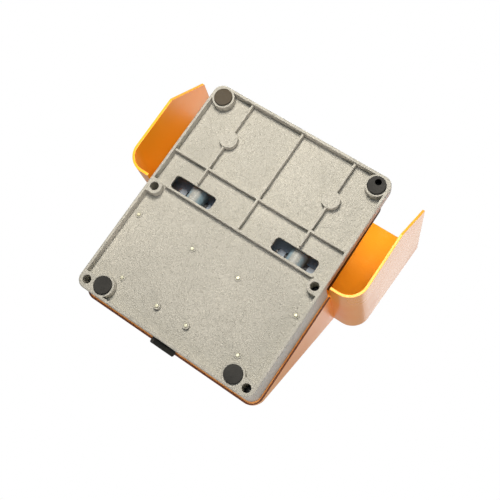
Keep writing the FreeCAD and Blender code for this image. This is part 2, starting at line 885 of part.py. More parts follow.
def return_spring():
    """The right pedal's compression spring, standing in its cup."""
    low = spring_cup_bottom_z + spring_end_gap + spring_wire_radius
    high = spring_boss_z - spring_end_gap - spring_wire_radius
    pitch = (high - low) / spring_turns
    helix = Part.makeHelix(pitch, high - low, spring_mean_radius)
    start = V(spring_mean_radius, 0, 0)
    circle = Part.Wire(Part.makeCircle(spring_wire_radius, start, V(0, 1, 0)))
    coil = Part.Wire(helix).makePipeShell([circle], True, True)
    coil.translate(V(pedal_middle_x, spring_y, low))
    return coil


def switch_screw_places():
    """Middles of the right switch block's two screws."""
    half = switch_screw_spacing / 2
    return [(pedal_middle_x - half, plunger_y), (pedal_middle_x + half, plunger_y)]


def switch_body():
    """The right switch block, with a socket for its plunger."""
    half = switch_length / 2
    body_x = (pedal_middle_x - half, pedal_middle_x + half)
    body_y = (plunger_y - switch_depth / 2, plunger_y + switch_depth / 2)
    body = block(*body_x, *body_y, switch_bottom_z, switch_top_z)
    body = body.makeFillet(switch_edge_radius, body.Edges)
    collar_z = (switch_bottom_z - plunger_collar_height, switch_bottom_z + fuse_overlap)
    body = joined([body, post(pedal_middle_x, plunger_y, *collar_z, plunger_collar_radius)])
    socket_top = switch_bottom_z + plunger_socket_depth
    body = body.cut(
        post(pedal_middle_x, plunger_y, plunger_tip_z, socket_top, plunger_radius + plunger_clearance)
    )
    for x, y in switch_screw_places():
        hole_z = (switch_top_z - small_screw_depth, switch_top_z + cut_past)
        body = body.cut(post(x, y, *hole_z, small_screw_radius + thread_gap))
    return body


def switch_plunger():
    """The right switch's plunger, with a domed tip above the lever."""
    stem_top = switch_bottom_z + plunger_socket_depth - plunger_travel - plunger_end_gap
    stem = post(pedal_middle_x, plunger_y, plunger_tip_z, stem_top, plunger_radius)
    dome_z = plunger_tip_z + plunger_tip_radius
    ball = Part.makeSphere(plunger_tip_radius, V(pedal_middle_x, plunger_y, dome_z))
    above = post(pedal_middle_x, plunger_y, dome_z, stem_top, plunger_tip_radius)
    return stem.common(joined([ball, above]))


def switch_bracket():
    """The folded steel bracket that holds the right switch block from above."""
    half = switch_bracket_length / 2
    deck_x = (pedal_middle_x - half, pedal_middle_x + half)
    deck_front = plunger_y - switch_depth / 2
    pieces = [block(*deck_x, deck_front, switch_leg_rear_y, switch_top_z, deck_top_z)]
    legs_y = (switch_leg_front_y, switch_leg_rear_y)
    foot_z = (floor_top_z, floor_top_z + bracket_sheet)
    for side in (-1, 1):
        outer = pedal_middle_x + side * half
        inner = outer - side * bracket_sheet
        tip = pedal_middle_x + side * (bracket_screw_spacing / 2 + bracket_foot_half_width)
        pieces.append(block(*sorted((outer, inner)), *legs_y, floor_top_z, deck_top_z))
        pieces.append(block(*sorted((inner, tip)), *legs_y, *foot_z))
    pieces.append(rear_strap())
    shape = joined(pieces)
    radius = small_screw_radius + thread_gap
    for x, y in bracket_screw_places():
        shape = shape.cut(post(x, y, foot_z[0] - cut_past, foot_z[1] + cut_past, radius))
    for x, y in switch_screw_places():
        shape = shape.cut(post(x, y, switch_top_z - cut_past, deck_top_z + cut_past, radius))
    return shape


def rear_strap():
    """The switch bracket's third leg, which slopes down to the rear."""
    x0, x1 = bracket_rear_screw_x - rear_strap_half_width, bracket_rear_screw_x + rear_strap_half_width
    deck_y = switch_leg_rear_y
    toe_y = bracket_rear_screw_y - bracket_foot_half_width
    heel_y = bracket_rear_screw_y + bracket_foot_half_width
    foot_top_z = floor_top_z + bracket_sheet
    rise = deck_top_z - foot_top_z
    run = toe_y - deck_y
    upright_thickness = bracket_sheet * math.hypot(rise, run) / run
    outline = [
        (deck_y - fuse_overlap, deck_top_z),
        (deck_y, deck_top_z),
        (toe_y, foot_top_z),
        (heel_y, foot_top_z),
        (heel_y, floor_top_z),
        (toe_y - fuse_overlap, floor_top_z),
        (deck_y - fuse_overlap, deck_top_z - upright_thickness),
    ]
    return side_profile(outline, x0, x1)


def small_screw(x, y, seat_z, length):
    """One of the small pan-head screws."""
    return screw_down(
        x, y, seat_z, small_screw_radius, length, small_screw_head_radius, small_screw_head_height
    )


def switch_screws():
    """Four screws that hold the switch blocks under their brackets."""
    length = bracket_sheet + small_screw_depth - screw_tip_gap
    screws = []
    for x, y in switch_screw_places():
        screws += [small_screw(-x, y, deck_top_z, length), small_screw(x, y, deck_top_z, length)]
    return Part.makeCompound(screws)


def bracket_screws():
    """Six screws through the switch brackets' feet, with their tips showing below."""
    screws = []
    seat = floor_top_z + bracket_sheet
    length = seat - floor_under_z + bracket_boss_height + small_screw_tip
    for side in (-1, 1):
        for x, y in bracket_screw_places():
            screws.append(small_screw(side * x, y, seat, length))
    return Part.makeCompound(screws)


def terminal_block():
    """The terminal block, with a low foot at each end and a row of clamps."""
    left, right = terminal_screw_left_x - terminal_block_end, terminal_screw_right_x + terminal_block_end
    body_left, body_right = terminal_body_ends()
    block_y = (terminal_screw_y - terminal_block_depth / 2, terminal_screw_y + terminal_block_depth / 2)
    foot_top = floor_top_z + terminal_foot_height
    top = floor_top_z + terminal_block_height
    base = block(left, right, *block_y, floor_top_z, foot_top)
    shape = joined([base, block(body_left, body_right, *block_y, floor_top_z, top)])
    for x, y in terminal_screw_places():
        radius = small_screw_radius + thread_gap
        shape = shape.cut(post(x, y, floor_top_z - cut_past, foot_top + cut_past, radius))
    for x, y in clamp_places():
        radius = clamp_screw_radius + clamp_screw_gap
        shape = shape.cut(post(x, y, top - clamp_screw_depth, top + cut_past, radius))
    return shape


def terminal_body_ends():
    """Where the high part of the terminal block begins and ends, between its screw heads."""
    reach = terminal_block_end - terminal_shoulder
    return terminal_screw_left_x + reach, terminal_screw_right_x - reach


def clamp_places():
    """Middles of the clamp screws, two for each way."""
    left, right = terminal_body_ends()
    step = (right - left) / terminal_ways
    places = []
    for way in range(terminal_ways):
        x = left + (way + 0.5) * step
        for offset in (-terminal_block_depth / 4, terminal_block_depth / 4):
            places.append((x, terminal_screw_y + offset))
    return places


def clamp_screws():
    """The slotted clamp screws in the terminal block."""
    block_top = floor_top_z + terminal_block_height
    bottom, top = block_top - clamp_screw_depth, block_top - clamp_screw_sink
    half_slot = clamp_slot_width / 2
    slot_z = (top - clamp_slot_depth, top + cut_past)
    screws = []
    for x, y in clamp_places():
        screw = post(x, y, bottom, top, clamp_screw_radius)
        slot_x = (x - clamp_screw_radius, x + clamp_screw_radius)
        screws.append(screw.cut(block(*slot_x, y - half_slot, y + half_slot, *slot_z)))
    return Part.makeCompound(screws)


def block_screws():
    """Two screws that hold the terminal block, with their tips showing below."""
    seat = floor_top_z + terminal_foot_height
    length = seat - floor_under_z + block_boss_height + small_screw_tip
    return Part.makeCompound([small_screw(x, y, seat, length) for x, y in terminal_screw_places()])


def earth_terminal():
    """The earth screw with its washer."""
    seat = earth_boss_z() + earth_washer_thickness
    washer = post(earth_x, earth_y, earth_boss_z(), seat, earth_washer_radius)
    screw = screw_down(
        earth_x,
        earth_y,
        seat,
        earth_screw_radius,
        earth_screw_length + earth_washer_thickness - screw_tip_gap,
        earth_head_radius,
        earth_head_height,
    )
    return joined([washer, screw])


def cable_plug():
    """The hexagonal blanking plug in the cable entry."""
    face_y = half_depth + plug_washer_thickness
    head = hexagon_along_y(0, entry_z, face_y, face_y + plug_head, plug_across_flats)
    turned = rod_along_y(0, face_y, face_y + plug_head, entry_z, plug_across_flats / math.sqrt(3))
    rim = [edge for edge in turned.Edges if edge.CenterOfMass.y > face_y + plug_head / 2 and edge.isClosed()]
    head = head.common(turned.makeChamfer(plug_corner_chamfer, rim))
    shank = rod_along_y(0, half_depth - plug_shank_length, face_y, entry_z, entry_radius)
    end_y = face_y + plug_head
    socket = rod_along_y(0, end_y - plug_socket_depth, end_y + cut_past, entry_z, plug_socket_radius)
    return joined([head, shank]).cut(socket)


def plug_washer():
    """The sealing washer under the plug's head."""
    face_y = half_depth + plug_washer_thickness
    disc = rod_along_y(0, half_depth, face_y, entry_z, plug_washer_radius)
    bore_y = (half_depth - cut_past, face_y + cut_past)
    return disc.cut(rod_along_y(0, *bore_y, entry_z, entry_radius + thread_gap))


def plug_locknut():
    """The locknut on the plug, inside the tub."""
    face_y = inner_half_depth - locknut_thickness
    nut = hexagon_along_y(0, entry_z, face_y, inner_half_depth, locknut_across_flats)
    bore_y = (face_y - cut_past, inner_half_depth + cut_past)
    return nut.cut(rod_along_y(0, *bore_y, entry_z, entry_radius + thread_gap))


def cover_slope_z(y):
    """Height of the cover's sloping face at a distance from its front."""
    return cover_top_z - (y - tub_front_y) * cover_fall


def cover_wedge(inset, bottom_z):
    """The cover's wedge, or its hollow when inset by the wall."""
    front_y = tub_front_y + inset
    rear_y = cover_rear_y - inset
    half = cover_half_width - inset
    drop = inset * math.hypot(1, cover_fall)
    front_z, rear_z = cover_slope_z(front_y) - drop, cover_slope_z(rear_y) - drop
    outline = [(front_y, bottom_z), (front_y, front_z), (rear_y, rear_z), (rear_y, bottom_z)]
    wedge = side_profile(outline, -half, half)
    corner = cover_corner_radius - inset
    plan_z = (bottom_z - cut_past, cover_top_z + cut_past)
    plan = rounded_block(-half, half, front_y, rear_y, *plan_z, corner, rear_only=True)
    return wedge.common(plan)


def slope_edges(shape):
    """The edges around the cover's sloping face."""
    found = []
    for edge in shape.Edges:
        heights = [cover_slope_z(vertex.Point.y) - vertex.Point.z for vertex in edge.Vertexes]
        if all(abs(height) < 1e-3 for height in heights):
            found.append(edge)
    return found


def rear_cover():
    """The wedge-shaped rear cover, with its seat, skirt and screw pillars."""
    blank = cover_wedge(0, cover_skirt_z)
    rounded = blank.makeFillet(cover_edge_radius, slope_edges(blank))
    shell = rounded.cut(cover_wedge(cover_wall, cover_skirt_z - cut_past))
    limit = cover_wedge(cover_wall / 2, lug_top_z)
    pieces = [shell, cover_ledge().common(limit)]
    for x, y in cover_screw_places():
        pieces += [piece.common(limit) for piece in cover_pillar(x, y)]
    for x, z in hood_screw_places():
        start, end = tub_front_y + cover_wall / 2, tub_front_y + hood_boss_length
        pieces.append(rod_along_y(x, start, end, z, hood_boss_radius))
    shape = joined(pieces)
    for cutter in cover_cuts():
        shape = shape.cut(cutter)
    return shape


def cover_ledge():
    """The ledge along the cover's sides and rear that rests on the gasket."""
    z0, z1 = cover_seat_z, cover_seat_z + cover_ledge_thickness
    ring = block(-cover_half_width, cover_half_width, tub_front_y, cover_rear_y, z0, z1)
    half = cover_half_width - cover_wall - cover_ledge_width
    front_y = tub_front_y + cover_wall
    rear_y = cover_rear_y - cover_wall - cover_ledge_width
    return ring.cut(block(-half, half, front_y, rear_y, z0 - cut_past, z1 + cut_past))


def cover_pillar(x, y):
    """A screw pillar and the web that ties it to the side wall."""
    wall_x = math.copysign(cover_half_width - cover_wall / 2, x)
    top = cover_seat_z + cover_ledge_thickness + cover_pillar_web
    pillar = post(x, y, lug_top_z, top, cover_pillar_radius)
    half_web = cover_pillar_web_thickness / 2
    web = block(*sorted((x, wall_x)), y - half_web, y + half_web, cover_seat_z, top)
    return [pillar, web]


def cover_cuts():
    """The space for the tub's wall, and the screw holes."""
    gap = cover_skirt_gap
    outer_x = (-half_width - gap, half_width + gap)
    outer_y = (tub_front_y - cut_past, half_depth + gap)
    tub_outline = rounded_block(*outer_x, *outer_y, 0, cover_seat_z, base_corner_radius, rear_only=True)
    fit = cover_fit_gap
    inner_x = (-inner_half_width + fit, inner_half_width - fit)
    inner_y = (tub_inner_front_y + fit, inner_half_depth - fit)
    inner_z = (-cut_past, cover_seat_z + cut_past)
    inner = rounded_block(*inner_x, *inner_y, *inner_z, base_corner_radius - casting_wall, rear_only=True)
    cuts = [tub_outline.cut(inner)]
    hole_top = screw_seat_z + cover_screw_length + screw_tip_gap
    for x, y in cover_screw_places():
        cuts.append(post(x, y, 0, hole_top, cover_screw_radius + thread_gap))
    for x, z in hood_screw_places():
        hole_y = (tub_front_y - cut_past, tub_front_y - hood_sheet + hood_screw_length + screw_tip_gap)
        cuts.append(rod_along_y(x, *hole_y, z, hood_screw_radius + thread_gap))
    return cuts


def hood_screw_places():
    """Middles of the screws that hold the hood to the cover's front."""
    columns = (-hood_screw_x, 0, hood_screw_x)
    rows = (hood_screw_low_z, hood_screw_high_z)
    return [(x, z) for x in columns for z in rows]


def cover_gasket():
    """The gasket between the tub's rim and the cover's seat, notched for the front cover screws."""
    inset = gasket_inset
    outer_x = (-half_width + inset, half_width - inset)
    outer_y = (tub_front_y + inset, half_depth - inset)
    outer_radius = base_corner_radius - inset
    outer = rounded_block(*outer_x, *outer_y, tub_z, cover_seat_z, outer_radius, rear_only=True)
    cut_z = (tub_z - cut_past, cover_seat_z + cut_past)
    inner_x = (-inner_half_width, inner_half_width)
    inner_y = (tub_inner_front_y, inner_half_depth)
    inner_radius = base_corner_radius - casting_wall
    ring = outer.cut(rounded_block(*inner_x, *inner_y, *cut_z, inner_radius, rear_only=True))
    for x, y in cover_screw_places():
        ring = ring.cut(post(x, y, *cut_z, cover_screw_radius + thread_gap))
    return ring


def cover_screws():
    """Four screws driven up from below into the cover's pillars."""
    screws = []
    for x, y in cover_screw_places():
        head = post(x, y, screw_seat_z - cover_screw_head_height, screw_seat_z, cover_screw_head_radius)
        shank = post(x, y, screw_seat_z, screw_seat_z + cover_screw_length, cover_screw_radius)
        screws.append(joined([head, shank]))
    return Part.makeCompound(screws)


def hood_form(inset, front_y, bottom_z):
    """The hood's outer form, or its hollow when inset by the sheet."""
    half = hood_half_width - inset
    rear_y = tub_front_y - inset
    slope = (hood_front_roof_z - hood_rear_roof_z) / (tub_front_y - hood_front_y)
    drop = inset * math.hypot(1, slope)
    rear_z = hood_rear_roof_z - drop + inset * slope
    front_z = rear_z + (rear_y - front_y) * slope
    outline = [(front_y, bottom_z), (front_y, front_z), (rear_y, rear_z), (rear_y, bottom_z)]
    side_view = side_profile(outline, -half - cut_past, half + cut_past)
    plan_z = (bottom_z, front_z + cut_past)
    plan = rounded_block(-half, half, front_y, rear_y, *plan_z, hood_corner_radius - inset, rear_only=True)
    form = plan.common(side_view)
    roof_edges = []
    for edge in form.Edges:
        points = [vertex.Point for vertex in edge.Vertexes]
        on_roof = all(abs(point.z - front_z - (front_y - point.y) * slope) < 0.01 for point in points)
        at_front = all(abs(point.y - front_y) < 0.01 for point in points)
        if on_roof and not at_front:
            roof_edges.append(edge)
    return form.makeFillet(hood_edge_radius - inset, roof_edges)


def hood_nose_cut():
    """What is cut off the lower front corners of the hood's sides."""
    front_y, bottom_z = hood_front_y - cut_past, hood_bottom_z - cut_past
    outline = [
        (front_y, bottom_z),
        (front_y, hood_nose_z),
        (hood_front_y, hood_nose_z),
        (hood_chamfer_y, hood_bottom_z),
        (hood_chamfer_y, bottom_z),
    ]
    return side_profile(outline, -hood_half_width - cut_past, hood_half_width + cut_past)


def guard_hood():
    """The sheet hood: roof, sides, and a back that screws to the cover."""
    outer = hood_form(0, hood_front_y, hood_bottom_z)
    inner = hood_form(hood_sheet, hood_front_y - cut_past, hood_bottom_z - cut_past)
    shape = outer.cut(inner).cut(hood_nose_cut())
    back_y = (tub_front_y - hood_sheet - cut_past, tub_front_y + cut_past)
    sill_half = cover_half_width + hood_side_gap
    sill_z = cover_seat_z + hood_sill_gap
    shape = shape.cut(block(-sill_half, sill_half, *back_y, 0, sill_z))
    for x, z in hood_screw_places():
        shape = shape.cut(rod_along_y(x, *back_y, z, hood_screw_radius + thread_gap))
    return shape


def hood_screws():
    """Six screws through the hood's back into the cover."""
    return Part.makeCompound(
        [
            screw_along_y(
                x,
                tub_front_y - hood_sheet,
                z,
                hood_screw_radius,
                hood_screw_length,
                hood_screw_head_radius,
                hood_screw_head_height,
            )
            for x, z in hood_screw_places()
        ]
    )


os.makedirs("parts", exist_ok=True)
export(base_casting(), "base_casting")
for place in foot_places():
    export(foot(place), "foot_" + place)
export(cover_gasket(), "cover_gasket")
export(rear_cover(), "rear_cover")
export(cover_screws(), "cover_screws")
export(guard_hood(), "guard_hood")
export(hood_screws(), "hood_screws")
export_pair(pedal(), "pedal")
export_pair(tread(), "tread")
export_pair(hinge_bracket(), "hinge_bracket")
export_pair(hinge_pin(), "hinge_pin")
export_pair(hinge_bushes(), "hinge_bushes")
export_pair(axle_clips(), "axle_clips")
export(hinge_screws(), "hinge_screws")
export_pair(return_spring(), "return_spring")
export_pair(switch_body(), "switch_body")
export_pair(switch_plunger(), "switch_plunger")
export_pair(switch_bracket(), "switch_bracket")
export(switch_screws(), "switch_screws")
export(bracket_screws(), "bracket_screws")
export(terminal_block(), "terminal_block")
export(clamp_screws(), "clamp_screws")
export(block_screws(), "block_screws")
export(earth_terminal(), "earth_terminal")
export(cable_plug(), "cable_plug")
export(plug_washer(), "plug_washer")
export(plug_locknut(), "plug_locknut")
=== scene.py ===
import json
import math

import bmesh
import bpy
from mathutils import Matrix, Vector


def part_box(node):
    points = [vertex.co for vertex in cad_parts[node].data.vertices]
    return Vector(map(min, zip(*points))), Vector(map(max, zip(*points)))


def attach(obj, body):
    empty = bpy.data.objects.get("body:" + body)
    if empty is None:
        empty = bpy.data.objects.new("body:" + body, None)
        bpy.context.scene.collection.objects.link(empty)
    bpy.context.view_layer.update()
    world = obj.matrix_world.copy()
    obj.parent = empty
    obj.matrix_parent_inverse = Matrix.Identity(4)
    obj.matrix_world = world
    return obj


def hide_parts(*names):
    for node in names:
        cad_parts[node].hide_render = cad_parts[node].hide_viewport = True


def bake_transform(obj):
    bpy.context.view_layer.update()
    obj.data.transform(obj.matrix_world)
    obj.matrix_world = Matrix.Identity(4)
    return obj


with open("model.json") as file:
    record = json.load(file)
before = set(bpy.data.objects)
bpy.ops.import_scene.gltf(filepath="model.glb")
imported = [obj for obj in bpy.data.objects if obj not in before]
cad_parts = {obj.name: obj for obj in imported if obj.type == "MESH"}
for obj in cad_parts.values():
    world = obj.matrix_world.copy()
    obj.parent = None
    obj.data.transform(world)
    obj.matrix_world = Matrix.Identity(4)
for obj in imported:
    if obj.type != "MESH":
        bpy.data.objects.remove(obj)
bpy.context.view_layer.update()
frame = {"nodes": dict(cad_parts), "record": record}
cad = frame["nodes"]

MM = 0.001
UP = Vector((0, 0, 1))
FRONT = Vector((0, -1, 0))


def middle_of(node):
    """The middle of a node's box."""
    low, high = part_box(node)
    return (low + high) / 2


# Places on the parts

# The pedals' levers lie behind this
LEVER_FRONT = -26 * MM
# The pedals' undersides lie above this, and their levers' below it
PEDAL_UNDERSIDE = 26 * MM
RIM_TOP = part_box("cover_gasket")[1].z
# The middle of the blind hole above the front right foot, whose inside is painted black as shade, and how
# far it reaches
FOOT_HOLE = middle_of("foot_front_right") + Vector((0, -3 * MM, 5.5 * MM))
FOOT_HOLE_REACH = 4.5 * MM

# Colours of the finishes, and of the shade and glints painted on them, as linear red, green and blue

CAST_GREY = (0.67, 0.645, 0.57)
DEEP_CAST_GREY = (0.51, 0.495, 0.44)
PEDAL_GREY = (0.52, 0.53, 0.50)
DEEP_PEDAL_GREY = (0.40, 0.41, 0.40)
# Painted shade, a bluish slate, on the pedals' undersides
UNDERSIDE_PAINTED_SHADE = (0.30, 0.42, 0.56)
RUBBED_PAINT = (0.84, 0.82, 0.74)
# Painted glints: bright specks on the base's grain
PAINTED_GLINT = (0.95, 0.91, 0.80)
ORANGE = (0.97, 0.35, 0.012)
DEEP_ORANGE = (0.94, 0.30, 0.008)
# Painted shade: orange as it looks in the corners and recesses
SHADED_ORANGE = (0.30, 0.08, 0.02)
ORANGE_PRIMER = (0.97, 0.60, 0.16)
# Painted shade, a dark brown, on the inside of the rear cover's rim
RIM_PAINTED_SHADE = (0.085, 0.022, 0.008)
RUBBER_BLACK = (0.018, 0.018, 0.017)
FOOT_BLACK = (0.024, 0.023, 0.021)
FOOT_BROWN = (0.085, 0.065, 0.042)
RUBBER_WORN = (0.075, 0.072, 0.066)
ZINC = (0.34, 0.385, 0.45)
ZINC_DULL = (0.29, 0.33, 0.38)
YELLOW_ZINC = (0.90, 0.88, 0.68)
YELLOW_ZINC_DULL = (0.62, 0.60, 0.42)
BLACKENED_STEEL = (0.045, 0.044, 0.043)
BLACKENED_STEEL_DULL = (0.02, 0.02, 0.02)
BRIGHT_STEEL = (0.62, 0.61, 0.59)
SPRING_GREY = (0.34, 0.34, 0.35)
DARK_STEEL = (0.20, 0.20, 0.20)
STEEL_EDGE = (0.86, 0.86, 0.86)
BRASS = (0.72, 0.52, 0.22)
BRASS_DULL = (0.42, 0.29, 0.12)
BUSH_BLACK = (0.030, 0.031, 0.034)
BUSH_WORN = (0.09, 0.09, 0.10)
SWITCH_BLACK = (0.022, 0.022, 0.024)
SWITCH_WORN = (0.08, 0.08, 0.085)
PLUNGER_CREAM = (0.62, 0.58, 0.46)
PLUNGER_WORN = (0.78, 0.75, 0.66)
TERMINAL_CREAM = (0.60, 0.55, 0.42)
TERMINAL_WORN = (0.76, 0.72, 0.60)
PLUG_BLACK = (0.040, 0.036, 0.028)
PLUG_WORN = (0.10, 0.095, 0.08)

# Dust, and shade painted into corners, recesses, holes and onto the levers' flanks

# Painted shade in the base's corners and along its ribs
CORNER_PAINTED_SHADE = (0.07, 0.07, 0.07)
# Painted shade, a dark bluish grey, in the pedals' cavities
CAVITY_PAINTED_SHADE = (0.09, 0.10, 0.115)
# Painted shade on the levers' flanks
FLANK_PAINTED_SHADE = (0.27, 0.40, 0.48)
# Darker colour in the steel parts' corners and recesses
STEEL_CORNER_DARK = (0.06, 0.055, 0.05)
RUBBER_DUST = (0.13, 0.12, 0.10)
PLASTIC_DUST = (0.16, 0.15, 0.13)
# Painted shade, black, in holes
HOLE_SHADE_BLACK = (0.004, 0.004, 0.004)

# How far painted shade reaches into corners and cavities, and how dark it gets
CORNER_SHADE = {"reach": 1.4 * MM, "amount": 0.9, "colour": CORNER_PAINTED_SHADE}
CAVITY_SHADE = {"reach": 24 * MM, "amount": 0.95, "colour": CAVITY_PAINTED_SHADE}
GREY_DUST = {"reach": 4 * MM, "amount": 0.6, "colour": RUBBER_DUST}
HOLE_SHADE = {"reach": 9 * MM, "amount": 1.0, "colour": HOLE_SHADE_BLACK}

# Light and surroundings

WHITE = (1.0, 1.0, 1.0)
WARM_LIGHT = (1.0, 0.935, 0.83)
COOL_LIGHT = (0.90, 0.96, 1.0)
BOUNCED_LIGHT = (1.0, 0.90, 0.86)
LIGHT_FROM_ABOVE = 0.55
LIGHT_FROM_BELOW = 0.04
FLOOR_GREY = (0.80, 0.80, 0.79)
FLOOR_PALE = (0.84, 0.84, 0.83)
FLOOR_HALF_SIZE = 4.0


# Wiring of shader nodes

def add(tree, kind, settings=None, **inputs):
    """A shader node with its settings; inputs are values or the sockets that feed them."""
    node = tree.nodes.new("ShaderNode" + kind)
    for name, value in (settings or {}).items():
        setattr(node, name, value)
    for name, value in inputs.items():
        feed(tree, node.inputs[name.replace("_", " ")], value)
    return node


def feed(tree, socket, value):
    """Set a socket to a value, or link it to another socket."""
    if isinstance(value, bpy.types.NodeSocket):
        tree.links.new(value, socket)
    elif socket.type == "RGBA" and len(value) == 3:
        socket.default_value = (*value, 1.0)
    else:
        socket.default_value = value


def mix_colour(tree, mask, first, second):
    """First colour where the mask is 0, second where it is 1."""
    node = add(tree, "Mix", {"data_type": "RGBA"})
    feed(tree, node.inputs[0], mask)
    feed(tree, node.inputs[6], first)
    feed(tree, node.inputs[7], second)
    return node.outputs[2]


def mix_value(tree, mask, first, second):
    """First value where the mask is 0, second where it is 1."""
    node = add(tree, "Mix", {"data_type": "FLOAT"})
    feed(tree, node.inputs[0], mask)
    feed(tree, node.inputs[2], first)
    feed(tree, node.inputs[3], second)
    return node.outputs[0]


def calculate(tree, operation, first, second=0.0, clamp=False):
    """One arithmetic step."""
    node = add(tree, "Math", {"operation": operation, "use_clamp": clamp})
    feed(tree, node.inputs[0], first)
    feed(tree, node.inputs[1], second)
    return node.outputs[0]


def fade(tree, value, low, high, to_low=0.0, to_high=1.0):
    """Spread the part of a value between low and high over a new range."""
    node = add(tree, "MapRange", {"interpolation_type": "SMOOTHSTEP"}, Value=value)
    feed(tree, node.inputs["From Min"], low)
    feed(tree, node.inputs["From Max"], high)
    feed(tree, node.inputs["To Min"], to_low)
    feed(tree, node.inputs["To Max"], to_high)
    return node.outputs["Result"]


def new_group(name, inputs, outputs):
    """An empty node group with value inputs and named outputs."""
    group = bpy.data.node_groups.new(name, "ShaderNodeTree")
    for title, value in inputs.items():
        socket = group.interface.new_socket(name=title, in_out="INPUT", socket_type="NodeSocketFloat")
        socket.default_value = value
    for title, kind in outputs.items():
        group.interface.new_socket(name=title, in_out="OUTPUT", socket_type="NodeSocket" + kind)
    start = group.nodes.new("NodeGroupInput")
    end = group.nodes.new("NodeGroupOutput")
    return group, start.outputs, end.inputs


def object_place(tree, stretch=(1.0, 1.0, 1.0)):
    """The place on the surface, in metres, with its pattern stretched if asked."""
    place = add(tree, "TexCoord").outputs["Object"]
    return add(tree, "Mapping", Vector=place, Scale=stretch).outputs["Vector"]


def noise(tree, place, scale, detail=3.0, roughness=0.55):
    """Soft noise from 0 to 1."""
    node = add(tree, "TexNoise", Vector=place, Detail=detail, Roughness=roughness)
    feed(tree, node.inputs["Scale"], scale)
    return node.outputs[0]


# Effects that several finishes share

def build_surface_group():
    """Cloudy variation, fine grain and small specks."""
    group, given, result = new_group(
        "surface_variation",
        {"Cloud Scale": 18.0, "Grain Scale": 1400.0, "Speck Scale": 420.0, "Speck Share": 0.06},
        {"Cloud": "Float", "Grain": "Float", "Specks": "Float"},
    )
    place = object_place(group)
    cloud = noise(group, place, given["Cloud Scale"], 4.0, 0.6)
    grain = noise(group, place, given["Grain Scale"], 2.0, 0.6)
    cells = add(group, "TexVoronoi", Vector=place, Scale=given["Speck Scale"])
    lot = add(group, "SeparateXYZ", Vector=cells.outputs["Color"]).outputs["X"]
    chosen = calculate(group, "LESS_THAN", lot, given["Speck Share"])
    dot = fade(group, cells.outputs["Distance"], 0.55, 0.35)
    feed(group, result["Cloud"], fade(group, cloud, 0.3, 0.7))
    feed(group, result["Grain"], grain)
    feed(group, result["Specks"], calculate(group, "MULTIPLY", chosen, dot))
    return group


def build_edge_group():
    """A mask along outer edges, broken up by noise, and a normal that rounds them."""
    group, given, result = new_group(
        "edge_wear",
        {"Radius": 0.6 * MM, "Wear": 0.5, "Breakup": 260.0},
        {"Mask": "Float", "Normal": "Vector"},
    )
    rounded = add(group, "Bevel", {"samples": 6}, Radius=given["Radius"]).outputs["Normal"]
    flat = add(group, "NewGeometry").outputs["Normal"]
    product = add(group, "VectorMath", {"operation": "DOT_PRODUCT"})
    feed(group, product.inputs[0], rounded)
    feed(group, product.inputs[1], flat)
    turned = fade(group, product.outputs["Value"], 0.995, 0.86)
    ragged = fade(group, noise(group, object_place(group), given["Breakup"], 3.0), 0.42, 0.62)
    worn = calculate(group, "MULTIPLY", turned, ragged)
    feed(group, result["Mask"], calculate(group, "MULTIPLY", worn, given["Wear"], clamp=True))
    feed(group, result["Normal"], rounded)
    return group


def build_dust_and_shade_group():
    """A mask for corners and recesses: painted shade where its colour is dark, dust where it is pale."""
    group, given, result = new_group(
        "corner_dust_and_shade", {"Reach": 6 * MM, "Amount": 0.5}, {"Mask": "Float"}
    )
    shade = add(group, "AmbientOcclusion", {"samples": 6, "only_local": True}, Distance=given["Reach"])
    corner = fade(group, shade.outputs["AO"], 0.85, 0.35)
    patchy = fade(group, noise(group, object_place(group), 90.0, 4.0), 0.3, 0.65, 0.35, 1.0)
    dusted_and_shaded = calculate(group, "MULTIPLY", corner, patchy)
    feed(group, result["Mask"], calculate(group, "MULTIPLY", dusted_and_shaded, given["Amount"], clamp=True))
    return group


def build_scratch_group():
    """Thin scratches in two directions, gathered in patches."""
    group, given, result = new_group("scratches", {"Scale": 60.0, "Amount": 0.5}, {"Mask": "Float"})
    lines = None
    for stretch in ((1.0, 14.0, 5.0), (11.0, 2.0, 6.0)):
        bands = noise(group, object_place(group, stretch), given["Scale"], 5.0, 0.7)
        distance = calculate(group, "ABSOLUTE", calculate(group, "SUBTRACT", bands, 0.5))
        line = fade(group, distance, 0.012, 0.002)
        lines = line if lines is None else calculate(group, "MAXIMUM", lines, line)
    patches = fade(group, noise(group, object_place(group), 22.0, 2.0), 0.5, 0.68)
    shown = calculate(group, "MULTIPLY", lines, patches)
    feed(group, result["Mask"], calculate(group, "MULTIPLY", shown, given["Amount"], clamp=True))
    return group


def build_brush_group():
    """Fine parallel streaks, as rolling and grinding leave in steel."""
    group, given, result = new_group("brushed_streaks", {"Scale": 900.0}, {"Streaks": "Float"})
    streaks = noise(group, object_place(group, (0.04, 1.0, 1.0)), given["Scale"], 3.0, 0.6)
    feed(group, result["Streaks"], streaks)
    return group


GROUPS = {
    "surface": build_surface_group(),
    "edges": build_edge_group(),
    "dust_and_shade": build_dust_and_shade_group(),
    "scratches": build_scratch_group(),
    "brush": build_brush_group(),
}


def place_group(tree, name, **inputs):
    """One of the shared effects, with its own values."""
    node = tree.nodes.new("ShaderNodeGroup")
    node.node_tree = GROUPS[name]
    for title, value in inputs.items():
        feed(tree, node.inputs[title.replace("_", " ")], value)
    return node.outputs


def new_material(name):
    """A material with an empty Principled shader."""
    material = bpy.data.materials.new(name)
    material.use_nodes = True
    tree = material.node_tree
    shader = tree.nodes["Principled BSDF"]
    return material, tree, shader


def bump(tree, height, distance, normal):
    """Relief of a given depth on top of a normal."""
    return add(tree, "Bump", Height=height, Distance=distance, Normal=normal).outputs["Normal"]


# Masks for single places

